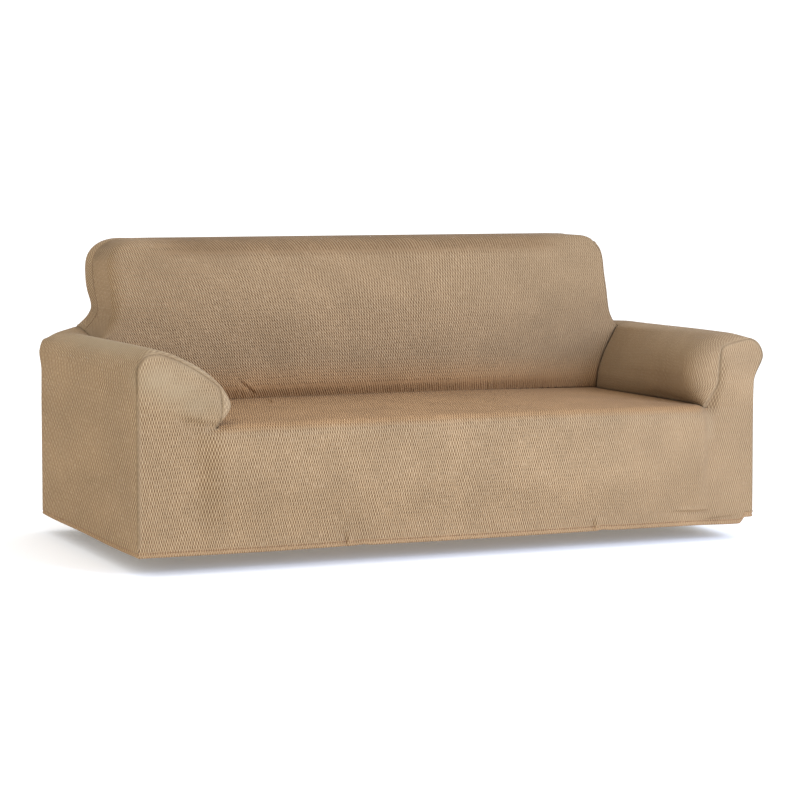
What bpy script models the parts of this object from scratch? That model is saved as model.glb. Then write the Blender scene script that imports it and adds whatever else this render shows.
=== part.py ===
"""Sofa slipcover: a fitted stretch cover in the shape it takes when worn.

Five sewn cloths make one hollow cover that is open underneath.
X runs across, Y runs back and Z is up. Every size below is measured from the middle of the front
face at floor level. The finished cloths are moved so that the origin lies under the top of the
back, where the cover is held up.
"""

import functools
import math

import bmesh
import bpy
import numpy as np
from mathutils import Vector

# Overall sizes in metres.
HALF_WIDTH = 0.96
DEPTH = 0.973
CLOTH = 0.002
HELD_AT = (0.0, 0.845, 0.8885)
COLOUR = (0.479, 0.342, 0.210, 1.0)

# Seams: each cloth ends this far inside its seam, further where two cloths fold together.
SEAM_EASE = 0.00025
SEAM_EASE_MOST = 0.0015
MITRE_MOST = 1.6
WELD = 0.00002
SHARP_ANGLE = 50

# Seat.
SPLIT_HEIGHT = 0.400
SEAT_HALF = 0.800
# Where the seat meets the arms at the front, left and right.
SEAT_LEFT = -0.734
SEAT_RIGHT = 0.800
SEAT_DEPTH = 0.68
SEAT_TOP_EDGE = 0.4070
SEAT_TOP_MIDDLE = 0.4145
SEAT_CROWN_POWER = 2.4
SEAT_CROWN_FRONT = 0.75
SEAT_SIDE_DIP = 0.0025
SEAT_BULGE = 0.036
SEAT_ROUND = 0.055
VALLEY_WIDTH = 0.042
# Where the push of the seat on the front cloth fades out: at its left, its right and its foot.
SWELL_LEFT = (0.716, 0.800)
SWELL_RIGHT = (0.762, 0.812)
SWELL_FOOT = (0.070, 0.250)
# The right edge of the front leans in: from this place across, between these heights.
LEAN_RIGHT = 0.0025
LEAN_ACROSS = (0.90, 0.96)
LEAN_HEIGHT = (0.10, 0.40)
TONGUE_PUFF = 0.048

# Back.
BACK_SIDE = 0.820
BACK_TOP = 0.8905
CORNER_LEFT = (0.096, 0.072)
CORNER_RIGHT = (0.070, 0.060)
CORNER_START = 20
CORNER_MIDDLE = 45
BACK_HALF = 0.80
BACK_CROWN = 0.016
BACK_CROWN_HEIGHT = (0.40, 0.89)
REAR_ROUND = 0.020
REAR_DROP = 0.012
REAR_BULGE = 0.005
ARM_STATION = 0.170

# How far each grid line lies across the seat and the back, as a share of the half width.
COLUMN_SHARE = (0.0, 0.16, 0.31, 0.45, 0.58, 0.70, 0.80, 0.88, 0.925, 0.965, 1.0)

# Rows of the hem: height above its lowest edge, and how far it turns in.
HEM_ROWS = ((0.006, 0.011), (0.0, 0.004), (0.004, 0.0), (0.011, 0.0014), (0.017, 0.0))
# Rows of the front, rear and sides above the hem, up to the split level.
WALL_ROWS = (0.095, 0.135, 0.180, 0.235, 0.290, 0.340, 0.372, 0.400)
HEM_MITRE = 0.030

# The turned hem's height: place round the edge, lowest edge in metres.
HEM_FRONT = ((-0.96, 0.0530), (-0.60, 0.0515), (-0.33, 0.0535), (-0.30, 0.0550), (-0.27, 0.0525),
             (0.10, 0.0515), (0.43, 0.0525), (0.46, 0.0550), (0.49, 0.0525), (0.76, 0.0510),
             (0.900, 0.0480), (0.917, 0.0485), (0.936, 0.0668), (0.96, 0.0670))
HEM_LEFT = ((0.0, 0.0530), (0.25, 0.0510), (0.55, 0.0535), (0.85, 0.0520), (0.973, 0.0540))
HEM_RIGHT = ((0.0, 0.0670), (0.03, 0.0668), (0.12, 0.0640), (0.45, 0.0560), (0.973, 0.0530))

# Section keys of an arm, from the hem up its side, over it, round the pad and down to the seat.
# Each row: name, then (inward, height) at the seam, at the pad's front, along it and at its rear.
ARM_LEFT = (
    ("hem", (0.0, 0.052), (0.0, 0.052), (-0.001, 0.052), (-0.007, 0.052)),
    ("split level", (0.0, 0.400), (0.0, 0.400), (-0.001, 0.400), (-0.0035, 0.400)),
    ("under roll", (0.0, 0.500), (0.0, 0.500), (0.0, 0.496), (-0.0025, 0.492)),
    ("roll", (0.0, 0.5595), (-0.003, 0.552), (-0.006, 0.548), (-0.0085, 0.547)),
    ("outer shoulder", (0.0094, 0.586), (0.005, 0.588), (0.005, 0.588), (0.0035, 0.586)),
    ("shoulder", (0.0306, 0.605), (0.022, 0.609), (0.022, 0.608), (0.019, 0.605)),
    ("crest", (0.0586, 0.6085), (0.046, 0.6215), (0.046, 0.6215), (0.046, 0.6180)),
    ("inner slope", (0.098, 0.5965), (0.094, 0.6105), (0.094, 0.6105), (0.096, 0.6020)),
    ("pad top", (0.145, 0.5735), (0.145, 0.5880), (0.142, 0.5880), (0.110, 0.5780)),
    ("pad slope", (0.195, 0.5410), (0.203, 0.5545), (0.190, 0.5560), (0.124, 0.5500)),
    ("upper nose", (0.231, 0.5080), (0.252, 0.5080), (0.228, 0.5150), (0.138, 0.5140)),
    ("nose", (0.2350, 0.4680), (0.2770, 0.4600), (0.2480, 0.4740), (0.152, 0.4780)),
    ("under nose", (0.2340, 0.4400), (0.2580, 0.4275), (0.2360, 0.4420), (0.162, 0.4480)),
    ("fold", (0.2315, 0.4165), (0.2430, 0.4175), (0.2240, 0.4210), (0.168, 0.4240)),
    ("crease", (0.226, 0.400), (0.230, 0.4065), (0.200, 0.407), (0.173, 0.4045)),
)
ARM_RIGHT = (
    ("hem", (0.0, 0.052), (0.0, 0.052), (0.001, 0.052), (0.001, 0.052)),
    ("split level", (0.0025, 0.400), (0.0025, 0.400), (0.002, 0.400), (0.001, 0.400)),
    ("under roll", (0.0015, 0.472), (0.0010, 0.472), (0.001, 0.476), (0.0, 0.492)),
    ("roll", (-0.0250, 0.5500), (-0.0310, 0.5490), (-0.0240, 0.5480), (-0.008, 0.546)),
    ("outer shoulder", (-0.0030, 0.5905), (-0.0130, 0.5930), (-0.006, 0.5920), (0.0065, 0.583)),
    ("shoulder", (0.0233, 0.6020), (0.0240, 0.6085), (0.023, 0.6080), (0.023, 0.604)),
    ("crest", (0.050, 0.5985), (0.0750, 0.6200), (0.070, 0.6195), (0.058, 0.6150)),
    ("inner slope", (0.0744, 0.5945), (0.1150, 0.6165), (0.112, 0.6150), (0.112, 0.6040)),
    ("pad top", (0.092, 0.5905), (0.1480, 0.6030), (0.142, 0.6000), (0.126, 0.5830)),
    ("pad slope", (0.108, 0.5865), (0.1780, 0.5780), (0.170, 0.5750), (0.143, 0.5520)),
    ("upper nose", (0.1215, 0.5740), (0.1970, 0.5450), (0.190, 0.5430), (0.161, 0.5140)),
    ("nose", (0.1277, 0.5310), (0.2050, 0.5020), (0.199, 0.5000), (0.173, 0.4780)),
    ("under nose", (0.1300, 0.4830), (0.2000, 0.4600), (0.194, 0.4590), (0.179, 0.4480)),
    ("fold", (0.1460, 0.4340), (0.1850, 0.4270), (0.184, 0.4280), (0.179, 0.4240)),
    ("crease", (0.160, 0.400), (0.164, 0.406), (0.166, 0.407), (0.174, 0.4045)),
)
# How far back the seam and the end of the pad's rounded front lie at each key.
SEAM_BACK_LEFT = (0.0, 0.0, 0.0, 0.0, -0.002, -0.004, -0.005, -0.007, -0.010, -0.012, -0.016,
                  -0.022, -0.022, -0.014)
ROUND_BACK_LEFT = (0.020, 0.020, 0.020, 0.022, 0.022, 0.022, 0.024, 0.024, 0.026, 0.030, 0.036,
                   0.042, 0.044, 0.050, 0.060)
SEAM_BACK_RIGHT = (0.0, 0.0, 0.0, -0.002, -0.004, -0.006, -0.008, -0.010, -0.012, -0.014, -0.014,
                   -0.014, -0.012, 0.004)
ROUND_BACK_RIGHT = (0.020, 0.020, 0.020, 0.026, 0.034, 0.044, 0.054, 0.058, 0.060, 0.062, 0.064,
                    0.064, 0.064, 0.062, 0.060)

# Outline of the back above the arms: name, front (inward, height), rear (inward, height).
BACK_LEFT = (
    ("web foot", (0.096, 0.602), (0.108, 0.6250)),
    ("web", (0.110, 0.617), (0.1254, 0.6390)),
    ("web top", (0.124, 0.636), (0.1400, 0.6530)),
    ("waist", (0.139, 0.672), (0.1550, 0.6840)),
    ("side", (0.1420, 0.722), (0.1450, 0.7260)),
    ("upper side", (0.1400, 0.784), (0.1375, 0.7800)),
)
BACK_RIGHT = (
    ("web foot", (0.112, 0.604), (0.100, 0.6100)),
    ("web", (0.118, 0.614), (0.113, 0.6230)),
    ("web top", (0.126, 0.629), (0.127, 0.6380)),
    ("waist", (0.135, 0.660), (0.138, 0.6660)),
    ("side", (0.1390, 0.714), (0.1420, 0.7160)),
    ("upper side", (0.1400, 0.780), (0.1400, 0.7800)),
)
# Softness of the front edge of the back at those keys, then at the corner: across, back.
EDGE_LEFT = ((0.0, 0.020), (0.014, 0.030), (0.026, 0.036), (0.034, 0.040), (0.036, 0.040),
             (0.036, 0.040), (0.034, 0.040), (0.034, 0.040))
EDGE_RIGHT = ((0.0, 0.020), (0.008, 0.026), (0.014, 0.030), (0.020, 0.032), (0.022, 0.032),
              (0.023, 0.033), (0.023, 0.034), (0.026, 0.038))
EDGE_TOP = (0.052, 0.056)

# Front face of the back: height, distance from the front of the seat.
BACK_FACE = ((0.400, 0.690), (0.418, 0.676), (0.450, 0.668), (0.520, 0.664), (0.600, 0.661),
             (0.650, 0.661), (0.700, 0.665), (0.750, 0.676), (0.800, 0.692), (0.841, 0.708),
             (0.893, 0.730))

# Grid steps between the section keys of an arm.
KEY_STEPS = (0, 2, 2, 2, 1, 1, 2, 1, 2, 2, 2, 2, 1, 1)
# Grid steps between the outline keys of the back, foot to corner.
SIDE_STEPS = (1, 1, 1, 1, 1, 1, 2)
ROUND_STEPS = 3
# Shares of the way from the pad's rounded front to the back.
ARM_SHARE = (0.06, 0.13, 0.21, 0.30, 0.40, 0.50, 0.60, 0.70, 0.79, 0.87, 0.94, 0.98, 1.0)
# Shares of the way from the back's front edge to its rear edge.
REAR_SHARE = (0.28, 0.66, 0.88, 1.0)
SEAM_STEP_LEFT = 5
SEAM_STEP_RIGHT = 1

PANELS = ("seat_front", "arm_left", "arm_right", "back_inner", "back_outer")
SEAT_FRONT, ARM_LEFT_CLOTH, ARM_RIGHT_CLOTH, BACK_INNER, BACK_OUTER = range(5)


def soft_step(low, high, value):
    """Zero below low, one above high, smooth between."""
    t = min(max((value - low) / (high - low), 0.0), 1.0)
    return t * t * (3 - 2 * t)


def table(rows, place):
    """A straight reading from a table of (place, value)."""
    return float(np.interp(place, [r[0] for r in rows], [r[1] for r in rows]))


def flow(keys, place):
    """A smooth reading between keys at whole numbers, which never overshoots them."""
    keys = np.asarray(keys, float)
    i = min(int(place), len(keys) - 2)
    t = place - i
    rise = np.diff(keys, axis=0)

    def slope(n):
        if n <= 0:
            return rise[0]
        if n >= len(rise):
            return rise[-1]
        a, b = rise[n - 1], rise[n]
        same = a * b > 0
        total = np.where(same, a + b, 1.0)
        return np.where(same, 2 * a * b / total, 0.0)

    a, b = keys[i], keys[i + 1]
    h = t * t * (3 - 2 * t)
    return (a + (b - a) * h + slope(i) * t * (1 - t) ** 2 - slope(i + 1) * t * t * (1 - t))


def seat_top(x, y):
    """Height of the seat cloth, crowned across and a little front to back."""
    across = 1 - min(abs(x) / SEAT_HALF, 1.0) ** SEAT_CROWN_POWER
    middle = math.sin(math.pi * min(max(y / SEAT_DEPTH, 0.0), 1.0))
    along = SEAT_CROWN_FRONT + (1 - SEAT_CROWN_FRONT) * middle
    dip = SEAT_SIDE_DIP * soft_step(0.10, SEAT_DEPTH, y) * (1 - across)
    return SEAT_TOP_EDGE + (SEAT_TOP_MIDDLE - SEAT_TOP_EDGE) * across * along - dip


def seat_swell(x, z):
    """How far the seat pushes the front cloth forward."""
    fade = SWELL_LEFT if x < 0 else SWELL_RIGHT
    return SEAT_BULGE * (1 - soft_step(*fade, abs(x))) * soft_step(*SWELL_FOOT, z)


def seat_edge(side):
    """Where the seat's front meets the arm on a side."""
    return SEAT_LEFT if side < 0 else SEAT_RIGHT


def seat_turn(x, z):
    """How far the soft front edge of the seat has turned back at a height."""
    top = seat_top(x, 0.0)
    rise = min(max((z - top + SEAT_ROUND) / SEAT_ROUND, 0.0), 1.0)
    return SEAT_ROUND * (1 - math.sqrt(1 - rise * rise))


def front_back(x, z):
    """Distance back of the front cloth below the split level."""
    edge = seat_edge(x)
    near = 1 - soft_step(0.0, VALLEY_WIDTH, abs(x) - abs(edge))
    return seat_turn(edge if abs(x) > abs(edge) else x, z) * near - seat_swell(x, z)


def back_face(x, z):
    """Distance back of the front of the back, reclined and softly crowned."""
    across = 1 - min(abs(x) / BACK_HALF, 1.0) ** 2
    foot, top = BACK_CROWN_HEIGHT
    up = math.sin(math.pi * min(max((z - foot) / (top - foot), 0.0), 1.0))
    return table(BACK_FACE, z) - BACK_CROWN * across * up


def grid_columns():
    """Shares across the seat and back, left to right."""
    return [-s for s in reversed(COLUMN_SHARE[1:])] + list(COLUMN_SHARE)


def spread(steps, first=0):
    """Key positions of the grid lines, given the steps between keys."""
    places = [float(first)]
    for n, count in enumerate(steps):
        places += [first + n + (k + 1) / count for k in range(count)]
    return places


def corner_spot(side, angle):
    """A point of the outline's rounded top corner, at an angle up from its side."""
    wide, high = CORNER_LEFT if side < 0 else CORNER_RIGHT
    turn = math.radians(angle)
    x = BACK_SIDE - wide * (1 - math.cos(turn))
    return side * x, BACK_TOP - high * (1 - math.sin(turn))


def top_height(x):
    """Height of the top outline, which falls away round its corners."""
    wide, high = CORNER_LEFT if x < 0 else CORNER_RIGHT
    over = max(abs(x) - (BACK_SIDE - wide), 0.0) / wide
    return BACK_TOP - high * (1 - math.sqrt(max(1 - over * over, 0.0)))


@functools.lru_cache(maxsize=None)
def outline_keys(rear):
    """The whole outline behind the seat, left hem to right hem, as (x, z) keys.

    rear is 0 at the front of the back and 1 at its rear.
    """
    side_keys = []
    for arm, back, sign in ((ARM_LEFT, BACK_LEFT, -1), (ARM_RIGHT, BACK_RIGHT, 1)):
        keys = []
        for name, seam, front, middle, end in arm[:7]:
            inward, height = end
            if name in ("shoulder", "crest"):
                height -= REAR_DROP * rear
            keys.append((sign * (HALF_WIDTH - inward), height))
        for name, front, end in back:
            inward, height = np.array(front) * (1 - rear) + np.array(end) * rear
            keys.append((sign * (HALF_WIDTH - inward), height))
        keys.append(corner_spot(sign, CORNER_START))
        keys.append(corner_spot(sign, CORNER_MIDDLE))
        side_keys.append(keys)
    left, right = side_keys[0][-1][0], side_keys[1][-1][0]
    across = [left + (right - left) * (c + 1) / 2 for c in grid_columns()[1:-1]]
    top = [(x, top_height(x)) for x in across]
    return np.array(side_keys[0] + top + side_keys[1][::-1])


ARM_KEYS = len(ARM_LEFT) - 1
FOOT_KEY = 7
CORNER_KEY = 14
LAST_KEY = 2 * CORNER_KEY + 2 * (len(COLUMN_SHARE) - 1)


def face_back(side, inward, height, key):
    """Distance back of the front of the back at a key; the outer side keeps the web foot's."""
    if key < FOOT_KEY:
        inward, height = (BACK_LEFT if side < 0 else BACK_RIGHT)[0][1]
    return back_face(side * (HALF_WIDTH - inward), height)


def edge_softness(key):
    """Across and back size of the rounded front edge of the back at an outline key."""
    if key <= FOOT_KEY or key >= LAST_KEY - FOOT_KEY:
        return np.array(EDGE_LEFT[0])
    if key <= CORNER_KEY:
        return flow(EDGE_LEFT, key - FOOT_KEY)
    if key >= LAST_KEY - CORNER_KEY:
        return flow(EDGE_RIGHT, LAST_KEY - FOOT_KEY - key)
    along = key - CORNER_KEY
    left = soft_step(0.0, 3.0, along)
    right = soft_step(0.0, 3.0, LAST_KEY - 2 * CORNER_KEY - along)
    top = np.array(EDGE_TOP)
    size = np.array(EDGE_LEFT[-1]) * (1 - left) + top * left
    return np.array(EDGE_RIGHT[-1]) * (1 - right) + size * right


def outline(key, rear, inset):
    """A point of the outline moved inward by inset, as (x, z)."""
    keys = outline_keys(rear)
    here = flow(keys, key)
    if inset == 0:
        return here
    before, after = flow(keys, max(key - 0.05, 0)), flow(keys, min(key + 0.05, LAST_KEY))
    run = after - before
    run = run / np.linalg.norm(run)
    return here + inset * np.array((run[1], -run[0]))


def hull(key, step):
    """A point behind the seat: key runs round the outline, step from front to rear."""
    across, back = edge_softness(key)
    body = len(REAR_SHARE)
    flat_x, flat_z = outline(key, 0.0, across)
    side = -1 if flat_x < 0 else 1
    front = face_back(side, HALF_WIDTH - abs(flat_x), flat_z, min(key, LAST_KEY - key))
    if step <= ROUND_STEPS:
        turn = math.radians(90 * step / ROUND_STEPS)
        x, z = outline(key, 0.0, across * (1 - math.sin(turn)))
        return np.array((x, front + back * (1 - math.cos(turn)), z))
    start = front + back
    end = DEPTH - REAR_ROUND
    share = float(np.interp(step - ROUND_STEPS, range(body + 1), (0.0,) + REAR_SHARE))
    rear = soft_step(0.0, 1.0, share)
    if step <= ROUND_STEPS + body:
        x, z = outline(key, rear, 0.0)
        return np.array((x, start + (end - start) * share, z))
    turn = math.radians(45 * (step - ROUND_STEPS - body))
    x, z = outline(key, 1.0, REAR_ROUND * (1 - math.cos(turn)))
    return np.array((x, end + REAR_ROUND * math.sin(turn), z))


def arm_share(step):
    """Share of the way from the pad's rounded front to the back at a grid step."""
    return float(np.interp(step - ROUND_STEPS, range(len(ARM_SHARE) + 1), (0.0,) + ARM_SHARE))


@functools.lru_cache(maxsize=None)
def arm_keys(side, step):
    """Section keys of an arm on one grid line: inward, height, back."""
    arm = ARM_LEFT if side < 0 else ARM_RIGHT
    seams = SEAM_BACK_LEFT if side < 0 else SEAM_BACK_RIGHT
    rounds = ROUND_BACK_LEFT if side < 0 else ROUND_BACK_RIGHT
    seams = seams + (front_back(seat_edge(side), SPLIT_HEIGHT),)
    keys = []
    for n, (name, seam, front, middle, rear) in enumerate(arm):
        if step <= ROUND_STEPS:
            turn = math.radians(90 * step / ROUND_STEPS)
            share = math.sin(turn)
            back = seams[n] + (rounds[n] - seams[n]) * (1 - math.cos(turn))
            spot = np.array(seam[:2]) * (1 - share) + np.array(front) * share
        else:
            end = face_back(side, rear[0], rear[1], n)
            back = rounds[n] + (end - rounds[n]) * arm_share(step)
            to_middle = soft_step(rounds[n], ARM_STATION, back)
            to_rear = soft_step(ARM_STATION, end, back)
            spot = np.array(front) * (1 - to_middle) + np.array(middle) * to_middle
            spot = spot * (1 - to_rear) + np.array(rear) * to_rear
        keys.append((spot[0], spot[1], back))
    return np.array(keys)


ARM_STEPS = ROUND_STEPS + len(ARM_SHARE)
HULL_STEPS = ROUND_STEPS + len(REAR_SHARE) + 2


def arm_point(side, key, step):
    """A point of an arm: key runs up and over it, step from its front to its rear."""
    if step <= ARM_STEPS:
        inward, height, back = flow(arm_keys(side, step), key)
        return np.array((side * (HALF_WIDTH - inward), back, height))
    outline_key = key if side < 0 else LAST_KEY - key
    return hull(outline_key, step - ARM_STEPS)


def row_height(row, lowest):
    """Height of a wall row above the floor, over a hem whose lowest edge is given."""
    if row < len(HEM_ROWS):
        return lowest + HEM_ROWS[row][0]
    return WALL_ROWS[row - len(HEM_ROWS)]


def row_turn(row):
    """How far a wall row is turned in at the hem."""
    return HEM_ROWS[row][1] if row < len(HEM_ROWS) else 0.0


WALL_COUNT = len(HEM_ROWS) + len(WALL_ROWS)


def front_wall(x, row):
    """A point of the front cloth at or below the split level."""
    z = row_height(row, table(HEM_FRONT, x))
    turn = row_turn(row)
    x -= math.copysign(turn * max(1 - (HALF_WIDTH - abs(x)) / HEM_MITRE, 0.0), x)
    x -= LEAN_RIGHT * soft_step(*LEAN_ACROSS, x) * soft_step(*LEAN_HEIGHT, z)
    return np.array((x, front_back(x, z) + turn, z))


def side_wall(side, step, row):
    """A point of an arm's outer side at or below the split level."""
    upper = arm_point(side, 1.0, step)
    hems = HEM_LEFT if side < 0 else HEM_RIGHT
    z = row_height(row, table(hems, upper[1]))
    turn = row_turn(row)
    x, y = upper[0], upper[1]
    if step == 0:
        return front_wall(side * HALF_WIDTH, row)
    if step <= ROUND_STEPS:
        if row < WALL_COUNT - 1:
            y = turn + (ROUND_BACK_LEFT[0] - turn) * step / ROUND_STEPS
        return np.array((x - side * turn, y, z))
    bend = math.radians(45 * max(step - ARM_STEPS - ROUND_STEPS - len(REAR_SHARE), 0))
    return np.array((x - side * turn * math.cos(bend), y - turn * math.sin(bend), z))


def rear_wall(x, row):
    """A point of the rear cloth at or below the split level."""
    middle = 1 - min(abs(x) / HALF_WIDTH, 1.0) ** 2
    lowest = table(HEM_LEFT, DEPTH) if x < 0 else table(HEM_RIGHT, DEPTH)
    z = row_height(row, lowest)
    return np.array((x, DEPTH + REAR_BULGE * middle - row_turn(row), z))


def way_along(points):
    """How far along a line each of its points lies, from 0 to 1."""
    steps = np.linalg.norm(np.diff(np.array(points, float), axis=0), axis=1)
    return np.concatenate(([0], np.cumsum(steps))) / sum(steps)


def fill(bottom, top, left, right):
    """A smooth patch between four edges, each a list of points."""
    u = (way_along(bottom) + way_along(top)) / 2
    v = (way_along(left) + way_along(right)) / 2
    rows = []
    for j in range(len(left)):
        row = []
        for i in range(len(bottom)):
            a = (1 - v[j]) * bottom[i] + v[j] * top[i] + (1 - u[i]) * left[j] + u[i] * right[j]
            b = (1 - u[i]) * (1 - v[j]) * bottom[0] + u[i] * (1 - v[j]) * bottom[-1]
            c = (1 - u[i]) * v[j] * top[0] + u[i] * v[j] * top[-1]
            row.append(a - b - c)
        rows.append(row)
    return rows


class Skin:
    """The whole cover as one surface, every face marked with its cloth."""

    def __init__(self):
        self.bm = bmesh.new()

    def add(self, rows, cloth, flip=False):
        """Adds a grid of points. cloth is a panel's number, or a function of (row, column)."""
        points = [[self.bm.verts.new(p) for p in row] for row in rows]
        for j in range(len(rows) - 1):
            for i in range(len(rows[0]) - 1):
                corners = [points[j][i], points[j][i + 1], points[j + 1][i + 1], points[j + 1][i]]
                face = self.bm.faces.new(corners[::-1] if flip else corners)
                face.material_index = cloth(j, i) if callable(cloth) else cloth

    def finish(self):
        bmesh.ops.remove_doubles(self.bm, verts=self.bm.verts, dist=WELD)
        self.bm.verts.index_update()
        self.bm.normal_update()


COLUMNS = grid_columns()
ARM_PLACES = spread(KEY_STEPS[1:], first=1)
SIDE_PLACES = spread(SIDE_STEPS, first=FOOT_KEY)
TOP_PLACES = [CORNER_KEY + n for n in range(len(COLUMNS))]
# Grid steps up the outer edge and up the inner edge of a tongue.
TONGUE_ROWS = sum(KEY_STEPS[1:3])
ARCH_END = len(ARM_PLACES) - 1 - TONGUE_ROWS
TONGUE_STEPS = ARCH_END - TONGUE_ROWS
WEB = ARM_PLACES.index(float(FOOT_KEY))


def tongue_line(side):
    """Places across the front from a side's outer edge to the seat."""
    outer, inner = side * HALF_WIDTH, seat_edge(side)
    return [outer + (inner - outer) * n / TONGUE_STEPS for n in range(TONGUE_STEPS + 1)]


def seat_line(left, right):
    """Places across the seat, from its left edge to its right."""
    return [left + (right - left) * (c + 1) / 2 for c in COLUMNS]


def add_apron(skin):
    """The front below the split level."""
    seat = seat_line(SEAT_LEFT, SEAT_RIGHT)
    line = tongue_line(-1) + seat[1:-1] + tongue_line(1)[::-1]
    skin.add([[front_wall(x, row) for x in line] for row in range(WALL_COUNT)], SEAT_FRONT)


def add_tongue(skin, side):
    """The front of an arm, between its outer edge, the arch and the fold under it."""
    seam = [arm_point(side, u, 0) for u in ARM_PLACES]
    bottom = [front_wall(x, WALL_COUNT - 1) for x in tongue_line(side)]
    rows = fill(bottom, seam[TONGUE_ROWS:ARCH_END + 1], seam[:TONGUE_ROWS + 1], seam[ARCH_END:][::-1])
    for j in range(1, TONGUE_ROWS):
        for i in range(1, TONGUE_STEPS):
            up, across = j / TONGUE_ROWS, i / TONGUE_STEPS
            puff = TONGUE_PUFF * 4 * up * (1 - up) * across * (1 - across)
            rows[j][i] = rows[j][i] - np.array((0, puff, 0))
    skin.add(rows, SEAT_FRONT, flip=side > 0)


def seat_point(x, step):
    """A point of the seat: its soft front edge first, then the top back to the crease."""
    if step <= ROUND_STEPS:
        top = seat_top(x, 0.0)
        first = math.asin((SPLIT_HEIGHT - top + SEAT_ROUND) / SEAT_ROUND)
        turn = first + (math.pi / 2 - first) * step / ROUND_STEPS
        y = SEAT_ROUND * (1 - math.cos(turn)) - seat_swell(x, SPLIT_HEIGHT)
        return np.array((x, y, top - SEAT_ROUND + SEAT_ROUND * math.sin(turn)))
    start = SEAT_ROUND - seat_swell(x, SPLIT_HEIGHT)
    y = start + (back_face(x, SEAT_TOP_EDGE) - start) * arm_share(step)
    return np.array((x, y, seat_top(x, y)))


def add_seat(skin):
    """The seat, from the split row back to the crease. Gives back its last row."""
    rows = [[front_wall(x, WALL_COUNT - 1) for x in seat_line(SEAT_LEFT, SEAT_RIGHT)]]
    for step in range(1, ARM_STEPS + 1):
        left, right = arm_point(-1, ARM_KEYS, step), arm_point(1, ARM_KEYS, step)
        inner = [seat_point(x, step) for x in seat_line(left[0], right[0])[1:-1]]
        rows.append([left] + inner + [right])
    skin.add(rows, SEAT_FRONT)
    return rows[-1]


def add_arm(skin, side):
    """The outer side of an arm back to the rear, then over the arm and down to the crease."""
    cloth = ARM_LEFT_CLOTH if side < 0 else ARM_RIGHT_CLOTH
    steps = range(ARM_STEPS + HULL_STEPS + 1)
    rows = [[side_wall(side, t, row) for t in steps] for row in range(WALL_COUNT)]
    rows += [[arm_point(side, u, t) for t in steps] for u in ARM_PLACES[1:WEB + 1]]
    skin.add(rows, cloth, flip=side < 0)
    rows = [[arm_point(side, u, t) for t in range(ARM_STEPS + 1)] for u in ARM_PLACES[WEB:]]
    corner = (len(rows) - 2, 0)
    skin.add(rows, lambda j, i: SEAT_FRONT if (j, i) == corner else cloth, flip=side < 0)


def add_back_face(skin, crease):
    """The front of the back, up from the crease at the seat and the arms."""
    sides = []
    for side in (-1, 1):
        line = [arm_point(side, u, ARM_STEPS) for u in reversed(ARM_PLACES[WEB:])]
        places = SIDE_PLACES if side < 0 else [LAST_KEY - k for k in SIDE_PLACES]
        sides.append(line + [hull(k, 0) for k in places[1:]])
    rows = fill(crease, [hull(k, 0) for k in TOP_PLACES], *sides)
    for row in rows[1:-1]:
        for point in row[1:-1]:
            point[1] = back_face(point[0], point[2])
    skin.add(rows, BACK_INNER)


def add_back_wrap(skin):
    """The sides and top of the back, from its soft front edge to the rear."""
    places = SIDE_PLACES + TOP_PLACES[1:] + [LAST_KEY - k for k in reversed(SIDE_PLACES[:-1])]
    right_start = len(SIDE_PLACES) + len(COLUMNS) - 2

    def cloth(j, i):
        seam_step = SEAM_STEP_RIGHT if i >= right_start else SEAM_STEP_LEFT
        return BACK_OUTER if j >= seam_step else BACK_INNER

    skin.add([[hull(k, t) for k in places] for t in range(HULL_STEPS + 1)], cloth)


def add_rear(skin):
    """The rear: the wide lower part up to the arms, then the back above it."""
    last = ARM_STEPS + HULL_STEPS
    edges = []
    for side in (-1, 1):
        low = [side_wall(side, last, row) for row in range(WALL_COUNT)]
        edges.append(low + [arm_point(side, u, last) for u in ARM_PLACES[1:WEB + 1]])
    height = WALL_COUNT + TONGUE_ROWS
    left, right = edges[0][:height], edges[1][:height]
    foot, other = edges[0][-1], edges[1][-1]
    bridge = [foot]
    for c in COLUMNS[1:-1]:
        x, y, z = foot + (other - foot) * (c + 1) / 2
        bridge.append(np.array((x, DEPTH + REAR_BULGE * (1 - (x / HALF_WIDTH) ** 2), z)))
    bridge.append(other)
    top = edges[0][height - 1:-1] + bridge + edges[1][height - 1:-1][::-1]
    stretch = (right[0][0] - left[0][0]) / (top[-1][0] - top[0][0])
    bottom = [rear_wall(left[0][0] + (p[0] - top[0][0]) * stretch, 0) for p in top]
    bottom[0], bottom[-1] = left[0], right[0]
    rows = fill(bottom, top, left, right)
    for j in range(1, WALL_COUNT):
        rows[j][1:-1] = [rear_wall(p[0], j) for p in rows[j][1:-1]]
    skin.add(rows, BACK_OUTER, flip=True)

    left = [hull(k, HULL_STEPS) for k in SIDE_PLACES]
    right = [hull(LAST_KEY - k, HULL_STEPS) for k in SIDE_PLACES]
    skin.add(fill(bridge, [hull(k, HULL_STEPS) for k in TOP_PLACES], left, right), BACK_OUTER, flip=True)


def build_skin():
    """The whole cover as one welded surface."""
    skin = Skin()
    add_apron(skin)
    crease = add_seat(skin)
    for side in (-1, 1):
        add_tongue(skin, side)
        add_arm(skin, side)
    add_back_face(skin, crease)
    add_back_wrap(skin)
    add_rear(skin)
    skin.finish()
    return skin.bm


def cloth_material(name):
    """Matt tan stretch knit."""
    material = bpy.data.materials.new(name)
    material.use_nodes = True
    shader = material.node_tree.nodes["Principled BSDF"]
    shader.inputs["Base Color"].default_value = COLOUR
    shader.inputs["Roughness"].default_value = 0.9
    shader.inputs["Metallic"].default_value = 0.0
    material.diffuse_color = COLOUR
    return material


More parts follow.
